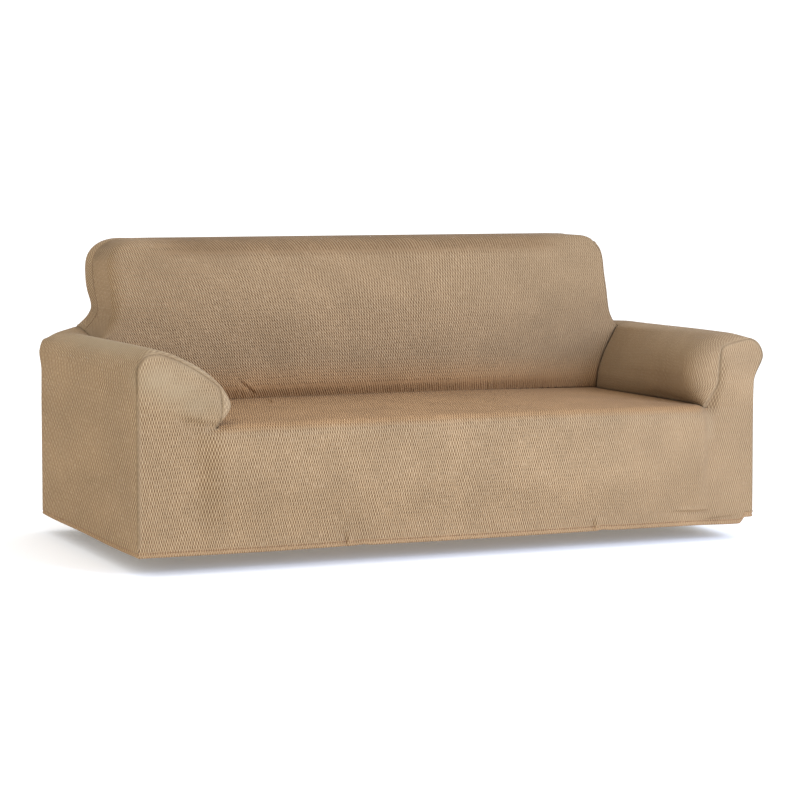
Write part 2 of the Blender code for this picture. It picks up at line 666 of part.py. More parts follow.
def inward_way(vert, number):
    """The way from a seam's point into the cloth with a given number, square to the seam."""
    faces = [f for f in vert.link_faces if f.material_index == number]
    middle = sum((f.calc_center_median() for f in faces), vert.co * 0) / len(faces)
    move = middle - vert.co
    rim = []
    for edge in vert.link_edges:
        if sum(f.material_index == number for f in edge.link_faces) == 1:
            rim.append(edge.other_vert(vert).co)
    if len(rim) == 2 and (rim[0] - rim[1]).length > 0:
        run = (rim[0] - rim[1]).normalized()
        move -= run * move.dot(run)
    return move.normalized()


def ease(vert, number):
    """How a seam's point moves into its own cloth: further where the cloths fold together."""
    way = inward_way(vert, number)
    amount = SEAM_EASE
    for other in {f.material_index for f in vert.link_faces} - {number}:
        between = way.angle(inward_way(vert, other))
        amount = max(amount, min(SEAM_EASE / max(math.sin(between / 2), 0.01), SEAM_EASE_MOST))
    return way * amount


def make_panel(bm, number, name, offsets):
    """One cloth with its thickness, cut from the skin a little inside its seams."""
    chosen = [f for f in bm.faces if f.material_index == number]
    edge_count = {}
    for face in chosen:
        for edge in face.edges:
            edge_count[edge] = edge_count.get(edge, 0) + 1
    rim = [e for e, uses in edge_count.items() if uses == 1]
    rim_verts = {v for e in rim for v in e.verts}
    made = bmesh.new()
    outer, inner = {}, {}
    for vert in {v: None for f in chosen for v in f.verts}:
        shift = ease(vert, number) if vert in rim_verts else vert.co * 0
        spot = vert.co + shift - Vector(HELD_AT)
        outer[vert] = made.verts.new(spot)
        inner[vert] = made.verts.new(spot - offsets[vert])
    for face in chosen:
        made.faces.new([outer[v] for v in face.verts])
        made.faces.new([inner[v] for v in reversed(face.verts)])
    for edge in rim:
        loop = next(l for l in edge.link_loops if l.face.material_index == number)
        a, b = loop.vert, loop.link_loop_next.vert
        if a.index < b.index:
            made.faces.new((outer[b], outer[a], inner[b]))
            made.faces.new((outer[a], inner[a], inner[b]))
        else:
            made.faces.new((outer[b], outer[a], inner[a]))
            made.faces.new((outer[b], inner[a], inner[b]))
    mesh = bpy.data.meshes.new(name)
    made.to_mesh(mesh)
    made.free()
    for polygon in mesh.polygons:
        polygon.use_smooth = True
    mesh.set_sharp_from_angle(angle=math.radians(SHARP_ANGLE))
    obj = bpy.data.objects.new(name, mesh)
    bpy.context.scene.collection.objects.link(obj)
    return obj


def main():
    for obj in list(bpy.data.objects):
        bpy.data.objects.remove(obj)
    bm = build_skin()
    offsets = {v: v.normal * (CLOTH * min(v.calc_shell_factor(), MITRE_MOST)) for v in bm.verts}
    for number, name in enumerate(PANELS):
        panel = make_panel(bm, number, name, offsets)
        panel.data.materials.append(cloth_material(name + "_knit"))
    bm.free()


main()
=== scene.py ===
import functools
import math

import bmesh
import bpy
import numpy as np
from mathutils import Matrix, Vector, kdtree


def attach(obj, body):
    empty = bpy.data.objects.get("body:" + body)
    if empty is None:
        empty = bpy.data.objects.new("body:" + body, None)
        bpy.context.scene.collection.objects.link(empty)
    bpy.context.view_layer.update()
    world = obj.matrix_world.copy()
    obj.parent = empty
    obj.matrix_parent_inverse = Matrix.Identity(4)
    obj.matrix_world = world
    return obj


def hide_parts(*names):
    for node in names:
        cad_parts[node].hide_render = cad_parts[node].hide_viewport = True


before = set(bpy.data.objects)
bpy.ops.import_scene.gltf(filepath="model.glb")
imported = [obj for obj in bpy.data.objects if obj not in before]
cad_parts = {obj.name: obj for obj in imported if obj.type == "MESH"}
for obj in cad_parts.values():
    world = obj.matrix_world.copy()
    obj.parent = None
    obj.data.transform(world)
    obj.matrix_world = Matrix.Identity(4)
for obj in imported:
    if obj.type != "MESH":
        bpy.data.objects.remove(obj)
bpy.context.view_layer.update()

# Sizes of the worn cover, in metres from the middle of the front face at floor level.
HALF_WIDTH = 0.96
DEPTH = 0.973
HELD_AT = np.array((0.0, 0.845, 0.8885))
FLOOR_Z = -HELD_AT[2]
# The cloth is this thick, and points this close are one.
CLOTH = 0.0016
WELD = 0.00002

# The camera: where it stands, and how it is turned, in degrees.
CAMERA_AT = (-3.0576, -7.5640, 0.2664)
CAMERA_TURN = 23.119
CAMERA_FALL = 5.44
CAMERA_ROLL = 0.116
LENS_MM = 117.5
SENSOR_MM = 36.0

# Seat.
SPLIT_HEIGHT = 0.400
SEAT_HALF = 0.800
SEAT_LEFT = -0.734
SEAT_RIGHT = 0.800
SEAT_DEPTH = 0.68
SEAT_TOP_EDGE = 0.4070
SEAT_TOP_MIDDLE = 0.4145
SEAT_CROWN_POWER = 2.4
SEAT_CROWN_FRONT = 0.75
SEAT_SIDE_DIP = 0.0025
SEAT_DIP_FROM = 0.10
SEAT_BULGE = 0.036
SEAT_ROUND = 0.055
VALLEY_WIDTH = 0.042
SWELL_LEFT = (0.716, 0.800)
SWELL_RIGHT = (0.762, 0.812)
SWELL_FOOT = (0.070, 0.250)
LEAN_RIGHT = 0.0025
LEAN_ACROSS = (0.90, 0.96)
LEAN_HEIGHT = (0.10, 0.40)
TONGUE_PUFF = 0.048

# Back.
BACK_SIDE = 0.820
BACK_TOP = 0.8905
CORNER_LEFT = (0.096, 0.072)
CORNER_RIGHT = (0.070, 0.060)
CORNER_START = 20
CORNER_MIDDLE = 45
BACK_HALF = 0.80
BACK_CROWN = 0.016
BACK_CROWN_HEIGHT = (0.40, 0.89)
REAR_ROUND = 0.020
# Degrees that the rear's rounding turns in each of its two steps.
REAR_TURN = 45
REAR_DROP = 0.012
REAR_BULGE = 0.005
ARM_STATION = 0.170
# Places across from the middle to a top corner, as shares.
COLUMN_SHARE = (0.0, 0.16, 0.31, 0.45, 0.58, 0.70, 0.80, 0.88, 0.925, 0.965, 1.0)

# Rows of the hem: height above its lowest edge, and how far it turns in.
HEM_ROWS = ((0.006, 0.011), (0.0, 0.004), (0.004, 0.0), (0.011, 0.0014), (0.017, 0.0))
WALL_ROWS = (0.095, 0.135, 0.180, 0.235, 0.290, 0.340, 0.372, 0.400)
HEM_MITRE = 0.030
HEM_FRONT = ((-0.96, 0.0530), (-0.60, 0.0515), (-0.33, 0.0535), (-0.30, 0.0550), (-0.27, 0.0525),
             (0.10, 0.0515), (0.43, 0.0525), (0.46, 0.0550), (0.49, 0.0525), (0.76, 0.0510),
             (0.900, 0.0480), (0.917, 0.0485), (0.936, 0.0668), (0.96, 0.0670))
HEM_LEFT = ((0.0, 0.0530), (0.25, 0.0510), (0.55, 0.0535), (0.85, 0.0520), (0.973, 0.0540))
HEM_RIGHT = ((0.0, 0.0670), (0.03, 0.0668), (0.12, 0.0640), (0.45, 0.0560), (0.973, 0.0530))

# Section keys of an arm, from the hem up its side, over it, round the pad and down to the seat.
# Each row: name, then (inward, height) at the seam, at the pad's front, along it and at its rear.
ARM_LEFT = (
    ("hem", (0.0, 0.052), (0.0, 0.052), (-0.001, 0.052), (-0.007, 0.052)),
    ("split level", (0.0, 0.400), (0.0, 0.400), (-0.001, 0.400), (-0.0035, 0.400)),
    ("under roll", (0.0, 0.500), (0.0, 0.500), (0.0, 0.496), (-0.0025, 0.492)),
    ("roll", (0.0, 0.5595), (-0.003, 0.552), (-0.006, 0.548), (-0.0085, 0.547)),
    ("outer shoulder", (0.0094, 0.586), (0.005, 0.588), (0.005, 0.588), (0.0035, 0.586)),
    ("shoulder", (0.0306, 0.605), (0.022, 0.609), (0.022, 0.608), (0.019, 0.605)),
    ("crest", (0.0586, 0.6085), (0.046, 0.6215), (0.046, 0.6215), (0.046, 0.6180)),
    ("inner slope", (0.098, 0.5965), (0.094, 0.6105), (0.094, 0.6105), (0.096, 0.6020)),
    ("pad top", (0.145, 0.5735), (0.145, 0.5880), (0.142, 0.5880), (0.110, 0.5780)),
    ("pad slope", (0.195, 0.5410), (0.203, 0.5545), (0.190, 0.5560), (0.124, 0.5500)),
    ("upper nose", (0.231, 0.5080), (0.252, 0.5080), (0.228, 0.5150), (0.138, 0.5140)),
    ("nose", (0.2350, 0.4680), (0.2770, 0.4600), (0.2480, 0.4740), (0.152, 0.4780)),
    ("under nose", (0.2340, 0.4400), (0.2580, 0.4275), (0.2360, 0.4420), (0.162, 0.4480)),
    ("fold", (0.2315, 0.4165), (0.2430, 0.4175), (0.2240, 0.4210), (0.168, 0.4240)),
    ("crease", (0.226, 0.400), (0.230, 0.4065), (0.200, 0.407), (0.173, 0.4045)),
)
ARM_RIGHT = (
    ("hem", (0.0, 0.052), (0.0, 0.052), (0.001, 0.052), (0.001, 0.052)),
    ("split level", (0.0025, 0.400), (0.0025, 0.400), (0.002, 0.400), (0.001, 0.400)),
    ("under roll", (0.0015, 0.472), (0.0010, 0.472), (0.001, 0.476), (0.0, 0.492)),
    ("roll", (-0.0250, 0.5500), (-0.0310, 0.5490), (-0.0240, 0.5480), (-0.008, 0.546)),
    ("outer shoulder", (-0.0030, 0.5905), (-0.0130, 0.5930), (-0.006, 0.5920), (0.0065, 0.583)),
    ("shoulder", (0.0233, 0.6020), (0.0240, 0.6085), (0.023, 0.6080), (0.023, 0.604)),
    ("crest", (0.050, 0.5985), (0.0750, 0.6200), (0.070, 0.6195), (0.058, 0.6150)),
    ("inner slope", (0.0744, 0.5945), (0.1150, 0.6165), (0.112, 0.6150), (0.112, 0.6040)),
    ("pad top", (0.092, 0.5905), (0.1480, 0.6030), (0.142, 0.6000), (0.126, 0.5830)),
    ("pad slope", (0.108, 0.5865), (0.1780, 0.5780), (0.170, 0.5750), (0.143, 0.5520)),
    ("upper nose", (0.1215, 0.5740), (0.1970, 0.5450), (0.190, 0.5430), (0.161, 0.5140)),
    ("nose", (0.1277, 0.5310), (0.2050, 0.5020), (0.199, 0.5000), (0.173, 0.4780)),
    ("under nose", (0.1300, 0.4830), (0.2000, 0.4600), (0.194, 0.4590), (0.179, 0.4480)),
    ("fold", (0.1460, 0.4340), (0.1850, 0.4270), (0.184, 0.4280), (0.179, 0.4240)),
    ("crease", (0.160, 0.400), (0.164, 0.406), (0.166, 0.407), (0.174, 0.4045)),
)
SEAM_BACK_LEFT = (0.0, 0.0, 0.0, 0.0, -0.002, -0.004, -0.005, -0.007, -0.010, -0.012, -0.016,
                  -0.022, -0.022, -0.014)
ROUND_BACK_LEFT = (0.020, 0.020, 0.020, 0.022, 0.022, 0.022, 0.024, 0.024, 0.026, 0.030, 0.036,
                   0.042, 0.044, 0.050, 0.060)
SEAM_BACK_RIGHT = (0.0, 0.0, 0.0, -0.002, -0.004, -0.006, -0.008, -0.010, -0.012, -0.014, -0.014,
                   -0.014, -0.012, 0.004)
ROUND_BACK_RIGHT = (0.020, 0.020, 0.020, 0.026, 0.034, 0.044, 0.054, 0.058, 0.060, 0.062, 0.064,
                    0.064, 0.064, 0.062, 0.060)

# Outline of the back above the arms: name, front (inward, height), rear (inward, height).
BACK_LEFT = (
    ("web foot", (0.096, 0.602), (0.108, 0.6250)),
    ("web", (0.110, 0.617), (0.1254, 0.6390)),
    ("web top", (0.124, 0.636), (0.1400, 0.6530)),
    ("waist", (0.139, 0.672), (0.1550, 0.6840)),
    ("side", (0.1420, 0.722), (0.1450, 0.7260)),
    ("upper side", (0.1400, 0.784), (0.1375, 0.7800)),
)
BACK_RIGHT = (
    ("web foot", (0.112, 0.604), (0.100, 0.6100)),
    ("web", (0.118, 0.614), (0.113, 0.6230)),
    ("web top", (0.126, 0.629), (0.127, 0.6380)),
    ("waist", (0.135, 0.660), (0.138, 0.6660)),
    ("side", (0.1390, 0.714), (0.1420, 0.7160)),
    ("upper side", (0.1400, 0.780), (0.1400, 0.7800)),
)
# Softness of the front edge of the back at those keys, then at the corner: across, back.
EDGE_LEFT = ((0.0, 0.020), (0.014, 0.030), (0.026, 0.036), (0.034, 0.040), (0.036, 0.040),
             (0.036, 0.040), (0.034, 0.040), (0.034, 0.040))
EDGE_RIGHT = ((0.0, 0.020), (0.008, 0.026), (0.014, 0.030), (0.020, 0.032), (0.022, 0.032),
              (0.023, 0.033), (0.023, 0.034), (0.026, 0.038))
EDGE_TOP = (0.052, 0.056)
# Over how many keys the corners' softness becomes the top's.
EDGE_BLEND = 3.0

# Front face of the back: height, distance from the front of the seat.
BACK_FACE = ((0.400, 0.690), (0.418, 0.676), (0.450, 0.668), (0.520, 0.664), (0.600, 0.661),
             (0.650, 0.661), (0.700, 0.665), (0.750, 0.676), (0.800, 0.692), (0.841, 0.708),
             (0.893, 0.730))

# Steps round an edge, then over an arm and over the body behind it, as shares of the way back.
ROUND_STEPS = 3
ARM_SHARE = (0.06, 0.13, 0.21, 0.30, 0.40, 0.50, 0.60, 0.70, 0.79, 0.87, 0.94, 0.98, 1.0)
REAR_SHARE = (0.28, 0.66, 0.88, 1.0)
# The steps that the seams at the back's left and right run on.
SEAM_STEP_LEFT = 5
SEAM_STEP_RIGHT = 1

COLUMNS = [-s for s in reversed(COLUMN_SHARE[1:])] + list(COLUMN_SHARE)
# Keys of an arm's section, and of the outline behind it. Between SMOOTH_KEYS the outline turns into one
# whose bend is even.
ARM_KEYS = len(ARM_LEFT) - 1
FOOT_KEY = 7
NOSE_KEY = 11
ROLL_KEY = 3
SPLIT_KEY = 1
CORNER_KEY = 14
TOP_KEYS = len(COLUMNS) - 1
LAST_KEY = 2 * CORNER_KEY + TOP_KEYS
SMOOTH_KEYS = (9.0, 12.0)
# How far to each side of a key the outline's direction is read.
KEY_NUDGE = 0.05
ARM_STEPS = ROUND_STEPS + len(ARM_SHARE)
BODY_STEPS = ROUND_STEPS + len(REAR_SHARE)
HULL_STEPS = BODY_STEPS + 2
LAST_ROW = len(HEM_ROWS) + len(WALL_ROWS) - 1


# ---- Reading tables ----

def soft_step(low, high, value):
    """Zero below low, one above high, smooth between."""
    t = np.clip((np.asarray(value, float) - low) / (high - low), 0.0, 1.0)
    return t * t * (3 - 2 * t)


def between(first, second):
    """The harmonic mean of two slopes, or none where they differ in sign."""
    same = first * second > 0
    total = np.where(same, first + second, 1.0)
    return np.where(same, 2 * first * second / total, 0.0)


def flow(keys, places, at=None):
    """A smooth reading between keys, at whole numbers or where told, which never overshoots them."""
    keys = np.asarray(keys, float)
    places = np.asarray(places, float)
    at = np.arange(len(keys)) if at is None else at
    n = np.clip(np.searchsorted(at, places, side="right") - 1, 0, len(keys) - 2)
    width = np.diff(at)
    t = ((places - at[n]) / width[n])[..., None]
    rise = np.diff(keys, axis=0) / width[:, None]
    slope = np.concatenate((rise[:1], between(rise[:-1], rise[1:]), rise[-1:]))
    h = t * t * (3 - 2 * t)
    bend = slope[n] * t * (1 - t) ** 2 - slope[n + 1] * t * t * (1 - t)
    return keys[n] + (keys[n + 1] - keys[n]) * h + bend * width[n][..., None]


def curve(rows, place):
    """A smooth reading from a table of (place, value)."""
    at, values = np.array(rows, float).T
    return flow(values[:, None], np.clip(place, at[0], at[-1]), at)[..., 0]


def points(x, y, z):
    """Points from coordinates that may be arrays or numbers."""
    return np.stack(np.broadcast_arrays(x, y, z), -1).astype(float)


# ---- The worn shape ----

def seat_top(x, y):
    """Height of the seat cloth, crowned across and a little front to back."""
    across = 1 - np.minimum(np.abs(x) / SEAT_HALF, 1.0) ** SEAT_CROWN_POWER
    middle = np.sin(np.pi * np.clip(y / SEAT_DEPTH, 0.0, 1.0))
    along = SEAT_CROWN_FRONT + (1 - SEAT_CROWN_FRONT) * middle
    dip = SEAT_SIDE_DIP * soft_step(SEAT_DIP_FROM, SEAT_DEPTH, y) * (1 - across)
    return SEAT_TOP_EDGE + (SEAT_TOP_MIDDLE - SEAT_TOP_EDGE) * across * along - dip


def seat_swell(x, z):
    """How far the seat pushes the front cloth forward."""
    fade = np.where(x < 0, soft_step(*SWELL_LEFT, np.abs(x)), soft_step(*SWELL_RIGHT, np.abs(x)))
    return SEAT_BULGE * (1 - fade) * soft_step(*SWELL_FOOT, z)


def seat_turn(x, z):
    """How far the soft front edge of the seat has turned back at a height."""
    rise = np.clip((z - seat_top(x, 0.0) + SEAT_ROUND) / SEAT_ROUND, 0.0, 1.0)
    return SEAT_ROUND * (1 - np.sqrt(1 - rise * rise))


def front_back(x, z):
    """Distance back of the front cloth below the split level."""
    x = np.asarray(x, float)
    inside = np.clip(x, SEAT_LEFT, SEAT_RIGHT)
    near = 1 - soft_step(0.0, VALLEY_WIDTH, np.abs(x - inside))
    return seat_turn(inside, z) * near - seat_swell(x, z)


def back_face(x, z):
    """Distance back of the front of the back, reclined and softly crowned."""
    across = 1 - np.minimum(np.abs(x) / BACK_HALF, 1.0) ** 2
    foot, top = BACK_CROWN_HEIGHT
    up = np.sin(np.pi * np.clip((z - foot) / (top - foot), 0.0, 1.0))
    return curve(BACK_FACE, z) - BACK_CROWN * across * up


def corner_spot(side, angle):
    """A point of the outline's rounded top corner, at an angle up from its side."""
    wide, high = CORNER_LEFT if side < 0 else CORNER_RIGHT
    turn = math.radians(angle)
    return side * (BACK_SIDE - wide * (1 - math.cos(turn))), BACK_TOP - high * (1 - math.sin(turn))


def top_height(x):
    """Height of the top outline, which falls away round its corners."""
    wide, high = CORNER_LEFT if x < 0 else CORNER_RIGHT
    over = max(abs(x) - (BACK_SIDE - wide), 0.0) / wide
    return BACK_TOP - high * (1 - math.sqrt(max(1 - over * over, 0.0)))


@functools.lru_cache(maxsize=None)
def outline_keys(rear):
    """The outline behind the seat, left hem to right hem: 0 is the front of the back, 1 its rear."""
    halves = []
    for arm, back, sign in ((ARM_LEFT, BACK_LEFT, -1), (ARM_RIGHT, BACK_RIGHT, 1)):
        keys = []
        for name, seam, front, middle, end in arm[:FOOT_KEY]:
            drop = REAR_DROP * rear if name in ("shoulder", "crest") else 0.0
            keys.append((sign * (HALF_WIDTH - end[0]), end[1] - drop))
        for name, front, end in back:
            inward, height = np.array(front) * (1 - rear) + np.array(end) * rear
            keys.append((sign * (HALF_WIDTH - inward), height))
        keys += [corner_spot(sign, CORNER_START), corner_spot(sign, CORNER_MIDDLE)]
        halves.append(keys)
    left, right = halves[0][-1][0], halves[1][-1][0]
    across = [left + (right - left) * (c + 1) / 2 for c in COLUMNS[1:-1]]
    return np.array(halves[0] + [(x, top_height(x)) for x in across] + halves[1][::-1])


def edge_softness(key):
    """Across and back size of the rounded front edge of the back at outline keys."""
    along = np.clip(key - CORNER_KEY, 0, TOP_KEYS)
    left = flow(EDGE_LEFT, np.clip(key - FOOT_KEY, 0, CORNER_KEY - FOOT_KEY))
    right = flow(EDGE_RIGHT, np.clip(LAST_KEY - FOOT_KEY - key, 0, CORNER_KEY - FOOT_KEY))
    from_left = soft_step(0.0, EDGE_BLEND, along)[..., None]
    from_right = soft_step(0.0, EDGE_BLEND, TOP_KEYS - along)[..., None]
    size = left * (1 - from_left) + np.array(EDGE_TOP) * from_left
    return right * (1 - from_right) + size * from_right


@functools.lru_cache(maxsize=None)
def outline_bends(rear):
    """Lengths between the outline's keys, and how the smoothest line through them bends at each."""
    keys = outline_keys(rear)
    gaps = np.linalg.norm(np.diff(keys, axis=0), axis=1)
    even_out = np.eye(len(keys))
    wanted = np.zeros(keys.shape)
    for n in range(1, len(keys) - 1):
        even_out[n, n - 1:n + 2] = gaps[n - 1], 2 * (gaps[n - 1] + gaps[n]), gaps[n]
        wanted[n] = 6 * ((keys[n + 1] - keys[n]) / gaps[n] - (keys[n] - keys[n - 1]) / gaps[n - 1])
    return gaps, np.linalg.solve(even_out, wanted)


def on_outline(key, rear):
    """Points of the outline; round the top its bend is even too, so that it has no creases."""
    keys = outline_keys(rear)
    gaps, bends = outline_bends(rear)
    key = np.asarray(key, float)
    n = np.clip(key.astype(int), 0, len(gaps) - 1)
    after = (key - n)[..., None]
    before = 1 - after
    bend = (before ** 3 - before) * bends[n] + (after ** 3 - after) * bends[n + 1]
    smooth = before * keys[n] + after * keys[n + 1] + gaps[n][..., None] ** 2 / 6 * bend
    share = soft_step(*SMOOTH_KEYS, np.minimum(key, LAST_KEY - key))[..., None]
    return flow(keys, key) * (1 - share) + smooth * share


def outline(key, rear, inset):
    """Points of the outline moved inward by inset, as (x, z)."""
    ahead = on_outline(np.minimum(key + KEY_NUDGE, LAST_KEY), rear)
    run = ahead - on_outline(np.maximum(key - KEY_NUDGE, 0), rear)
    run /= np.linalg.norm(run, axis=-1, keepdims=True)
    inward = np.stack((run[..., 1], -run[..., 0]), -1)
    return on_outline(key, rear) + np.asarray(inset)[..., None] * inward


def hull_line(key, step):
    """Points behind the seat at one step from front to rear; key runs round the outline."""
    key = np.asarray(key, float)
    across, back = np.moveaxis(edge_softness(key), -1, 0)
    flat_x, flat_z = np.moveaxis(outline(key, 0.0, across), -1, 0)
    (left_in, left_high), (right_in, right_high) = BACK_LEFT[0][1], BACK_RIGHT[0][1]
    below = np.minimum(key, LAST_KEY - key) < FOOT_KEY
    foot_x = np.where(flat_x < 0, left_in - HALF_WIDTH, HALF_WIDTH - right_in)
    foot_z = np.where(flat_x < 0, left_high, right_high)
    front = back_face(np.where(below, foot_x, flat_x), np.where(below, foot_z, flat_z))
    if step <= ROUND_STEPS:
        turn = math.radians(90 * step / ROUND_STEPS)
        spot = outline(key, 0.0, across * (1 - math.sin(turn)))
        leaned = np.where(below, 0.0, back_face(spot[..., 0], spot[..., 1]) - back_face(flat_x, flat_z))
        ease = leaned * (1 - math.sin(turn)) ** 2
        return points(spot[..., 0], front + ease + back * (1 - math.cos(turn)), spot[..., 1])
    start, end = front + back, DEPTH - REAR_ROUND
    share = np.interp(step - ROUND_STEPS, range(len(REAR_SHARE) + 1), (0.0,) + REAR_SHARE)
    if step <= BODY_STEPS:
        spot = outline(key, float(soft_step(0.0, 1.0, share)), 0.0)
        return points(spot[..., 0], start + (end - start) * share, spot[..., 1])
    turn = math.radians(REAR_TURN * (step - BODY_STEPS))
    spot = outline(key, 1.0, REAR_ROUND * (1 - math.cos(turn)))
    return points(spot[..., 0], end + REAR_ROUND * math.sin(turn), spot[..., 1])


def arm_share(step):
    """Share of the way from the pad's rounded front to the back at a step."""
    return np.interp(np.asarray(step) - ROUND_STEPS, range(len(ARM_SHARE) + 1), (0.0,) + ARM_SHARE)


@functools.lru_cache(maxsize=None)
def arm_keys(side, step):
    """Section keys of an arm at one step back: inward, height, back."""
    arm = ARM_LEFT if side < 0 else ARM_RIGHT
    seams = SEAM_BACK_LEFT if side < 0 else SEAM_BACK_RIGHT
    rounds = ROUND_BACK_LEFT if side < 0 else ROUND_BACK_RIGHT
    seams = seams + (float(front_back(SEAT_LEFT if side < 0 else SEAT_RIGHT, SPLIT_HEIGHT)),)
    keys = []
    for n, (name, seam, front, middle, rear) in enumerate(arm):
        if step <= ROUND_STEPS:
            turn = math.radians(90 * step / ROUND_STEPS)
            share = math.sin(turn)
            back = seams[n] + (rounds[n] - seams[n]) * (1 - math.cos(turn))
            spot = np.array(seam[:2]) * (1 - share) + np.array(front) * share
        else:
            inward, height = rear
            if n < FOOT_KEY:
                inward, height = (BACK_LEFT if side < 0 else BACK_RIGHT)[0][1]
            end = float(back_face(side * (HALF_WIDTH - inward), height))
            back = rounds[n] + (end - rounds[n]) * float(arm_share(step))
            to_middle = soft_step(rounds[n], ARM_STATION, back)
            to_rear = soft_step(ARM_STATION, end, back)
            spot = np.array(front) * (1 - to_middle) + np.array(middle) * to_middle
            spot = spot * (1 - to_rear) + np.array(rear) * to_rear
        keys.append((spot[0], spot[1], back))
    return np.array(keys)


def arm_line(side, key, step):
    """Points of an arm at one step from front to rear; key runs up and over it."""
    key = np.asarray(key, float)
    if step <= ARM_STEPS:
        inward, height, back = np.moveaxis(flow(arm_keys(side, step), key), -1, 0)
        return points(side * (HALF_WIDTH - inward), back, height)
    return hull_line(key if side < 0 else LAST_KEY - key, step - ARM_STEPS)


def wall_row(row):
    """At a row of the walls: its share of the hem's lowest edge, its height, how far it turns in."""
    rows = [(1.0, high, turn) for high, turn in HEM_ROWS] + [(0.0, high, 0.0) for high in WALL_ROWS]
    return np.moveaxis(flow(rows, row), -1, 0)


def front_wall(x, row):
    """Points of the front cloth at or below the split level."""
    x = np.asarray(x, float)
    share, high, turn = wall_row(row)
    z = share * curve(HEM_FRONT, x) + high
    mitre = np.maximum(1 - (HALF_WIDTH - np.abs(x)) / HEM_MITRE, 0.0)
    lean = LEAN_RIGHT * soft_step(*LEAN_ACROSS, x) * soft_step(*LEAN_HEIGHT, z)
    return points(x - np.sign(x) * turn * mitre - lean, front_back(x, z) + turn, z)


def side_wall(side, step, row):
    """Points of an arm's outer side at or below the split level, at one step back."""
    if step < 1:
        front = front_wall(np.full(np.shape(row), side * HALF_WIDTH), row)
        return front * (1 - step) + side_wall(side, 1, row) * step if step else front
    x, y = arm_line(side, SPLIT_KEY, step)[:2]
    share, high, turn = wall_row(row)
    z = share * curve(HEM_LEFT if side < 0 else HEM_RIGHT, y) + high
    if step <= ROUND_STEPS:
        level = turn + (ROUND_BACK_LEFT[0] - turn) * step / ROUND_STEPS
        top = np.clip(row - (LAST_ROW - 1), 0.0, 1.0)
        return points(x - side * turn, level * (1 - top) + y * top, z)
    bend = math.radians(REAR_TURN * max(step - ARM_STEPS - BODY_STEPS, 0))
    return points(x - side * turn * math.cos(bend), y - turn * math.sin(bend), z)


def rear_wall(x, row):
    """Points of the rear cloth at or below the split level."""
    share, high, turn = wall_row(row)
    middle = 1 - np.minimum(np.abs(x) / HALF_WIDTH, 1.0) ** 2
    lowest = np.where(x < 0, HEM_LEFT[-1][1], HEM_RIGHT[-1][1])
    return points(x, DEPTH + REAR_BULGE * middle - turn, share * lowest + high)


def seat_line(x, step):
    """Points of the seat at one step: its soft front edge first, then back to the crease."""
    swell = seat_swell(x, SPLIT_HEIGHT)
    if step <= ROUND_STEPS:
        top = seat_top(x, 0.0)
        first = np.arcsin((SPLIT_HEIGHT - top + SEAT_ROUND) / SEAT_ROUND)
        turn = first + (np.pi / 2 - first) * step / ROUND_STEPS
        y = SEAT_ROUND * (1 - np.cos(turn)) - swell
        return points(x, y, top - SEAT_ROUND + SEAT_ROUND * np.sin(turn))
    start = SEAT_ROUND - swell
    y = start + (back_face(x, SEAT_TOP_EDGE) - start) * arm_share(step)
    return points(x, y, seat_top(x, y))


def way_along(line):
    """How far along a line each of its points lies, from 0 to 1."""
    steps = np.linalg.norm(np.diff(line, axis=0), axis=1)
    return np.concatenate(([0], np.cumsum(steps))) / steps.sum()


def fill(bottom, top, left, right):
    """A smooth patch between four edges, each an array of points."""
    u = ((way_along(bottom) + way_along(top)) / 2)[None, :, None]
    v = ((way_along(left) + way_along(right)) / 2)[:, None, None]
    edges = (1 - v) * bottom[None] + v * top[None] + (1 - u) * left[:, None] + u * right[:, None]
    corners = ((1 - u) * (1 - v) * bottom[0] + u * (1 - v) * bottom[-1]
               + (1 - u) * v * top[0] + u * v * top[-1])
    return edges - corners


# ---- Fine lines over the shape ----

# How far the knit is drawn out along each arm and round the sides of the back, where its loops look wider
# in the reference view: the share of the true length that is left on the flat cloth.
STRETCH_LEFT = 0.45
STRETCH_RIGHT = 0.90
STRETCH_WRAP = 0.55
# How far the grain of the back leans per metre of height, at its left and at its right.
GRAIN_LEAN = (0.62, 0.10)
# The least rise from one line of the back's front to the next, so that none folds under another.
CLOSEST_ROWS = 0.0002
# Extra lines beside a seam: how far from it as shares of the furthest, and the furthest on a patch, round an
# edge and over the back.
BESIDE = np.array((0.12, 0.3, 0.55, 1.0))
BESIDE_PATCH = 0.03
BESIDE_ROUND = 0.18
BESIDE_WRAP = 0.07
# Across the seat and the back, shares of the half width with closer lines: the pleat and left pucker, and
# the right pucker.
CLOSE_SPANS = ((-0.548, -0.470), (0.502, 0.545))
CLOSE_PITCH = 0.0034
# How many lines there are up and across a tongue, round an edge, back along an arm, back over the body,
# round the rear, up the back's sides and across its top.
UP_LINES = 24
ACROSS_LINES = 35
ROUND_LINES = 13
ARM_LINES = 92
BODY_LINES = 29
REAR_LINES = 9
SIDE_LINES = 64
TOP_LINES = 165
# Lines up the walls, closest over the hem and close over the folds above it: from row, to row, how many.
ROW_LINES = ((0, 4, 21), (4, 5, 9), (5, 6, 13), (6, LAST_ROW, 35))


def each_once(*runs):
    """The places of several runs in order, each once."""
    return np.unique(np.round(np.concatenate(runs), 7))


def even(low, high, count, beside, both=False):
    """Places from low to high, with extra ones close to the seam at the low end, or at both."""
    runs = [np.linspace(low, high, count), low + beside * BESIDE] + [high - beside * BESIDE] * both
    return each_once(*runs)


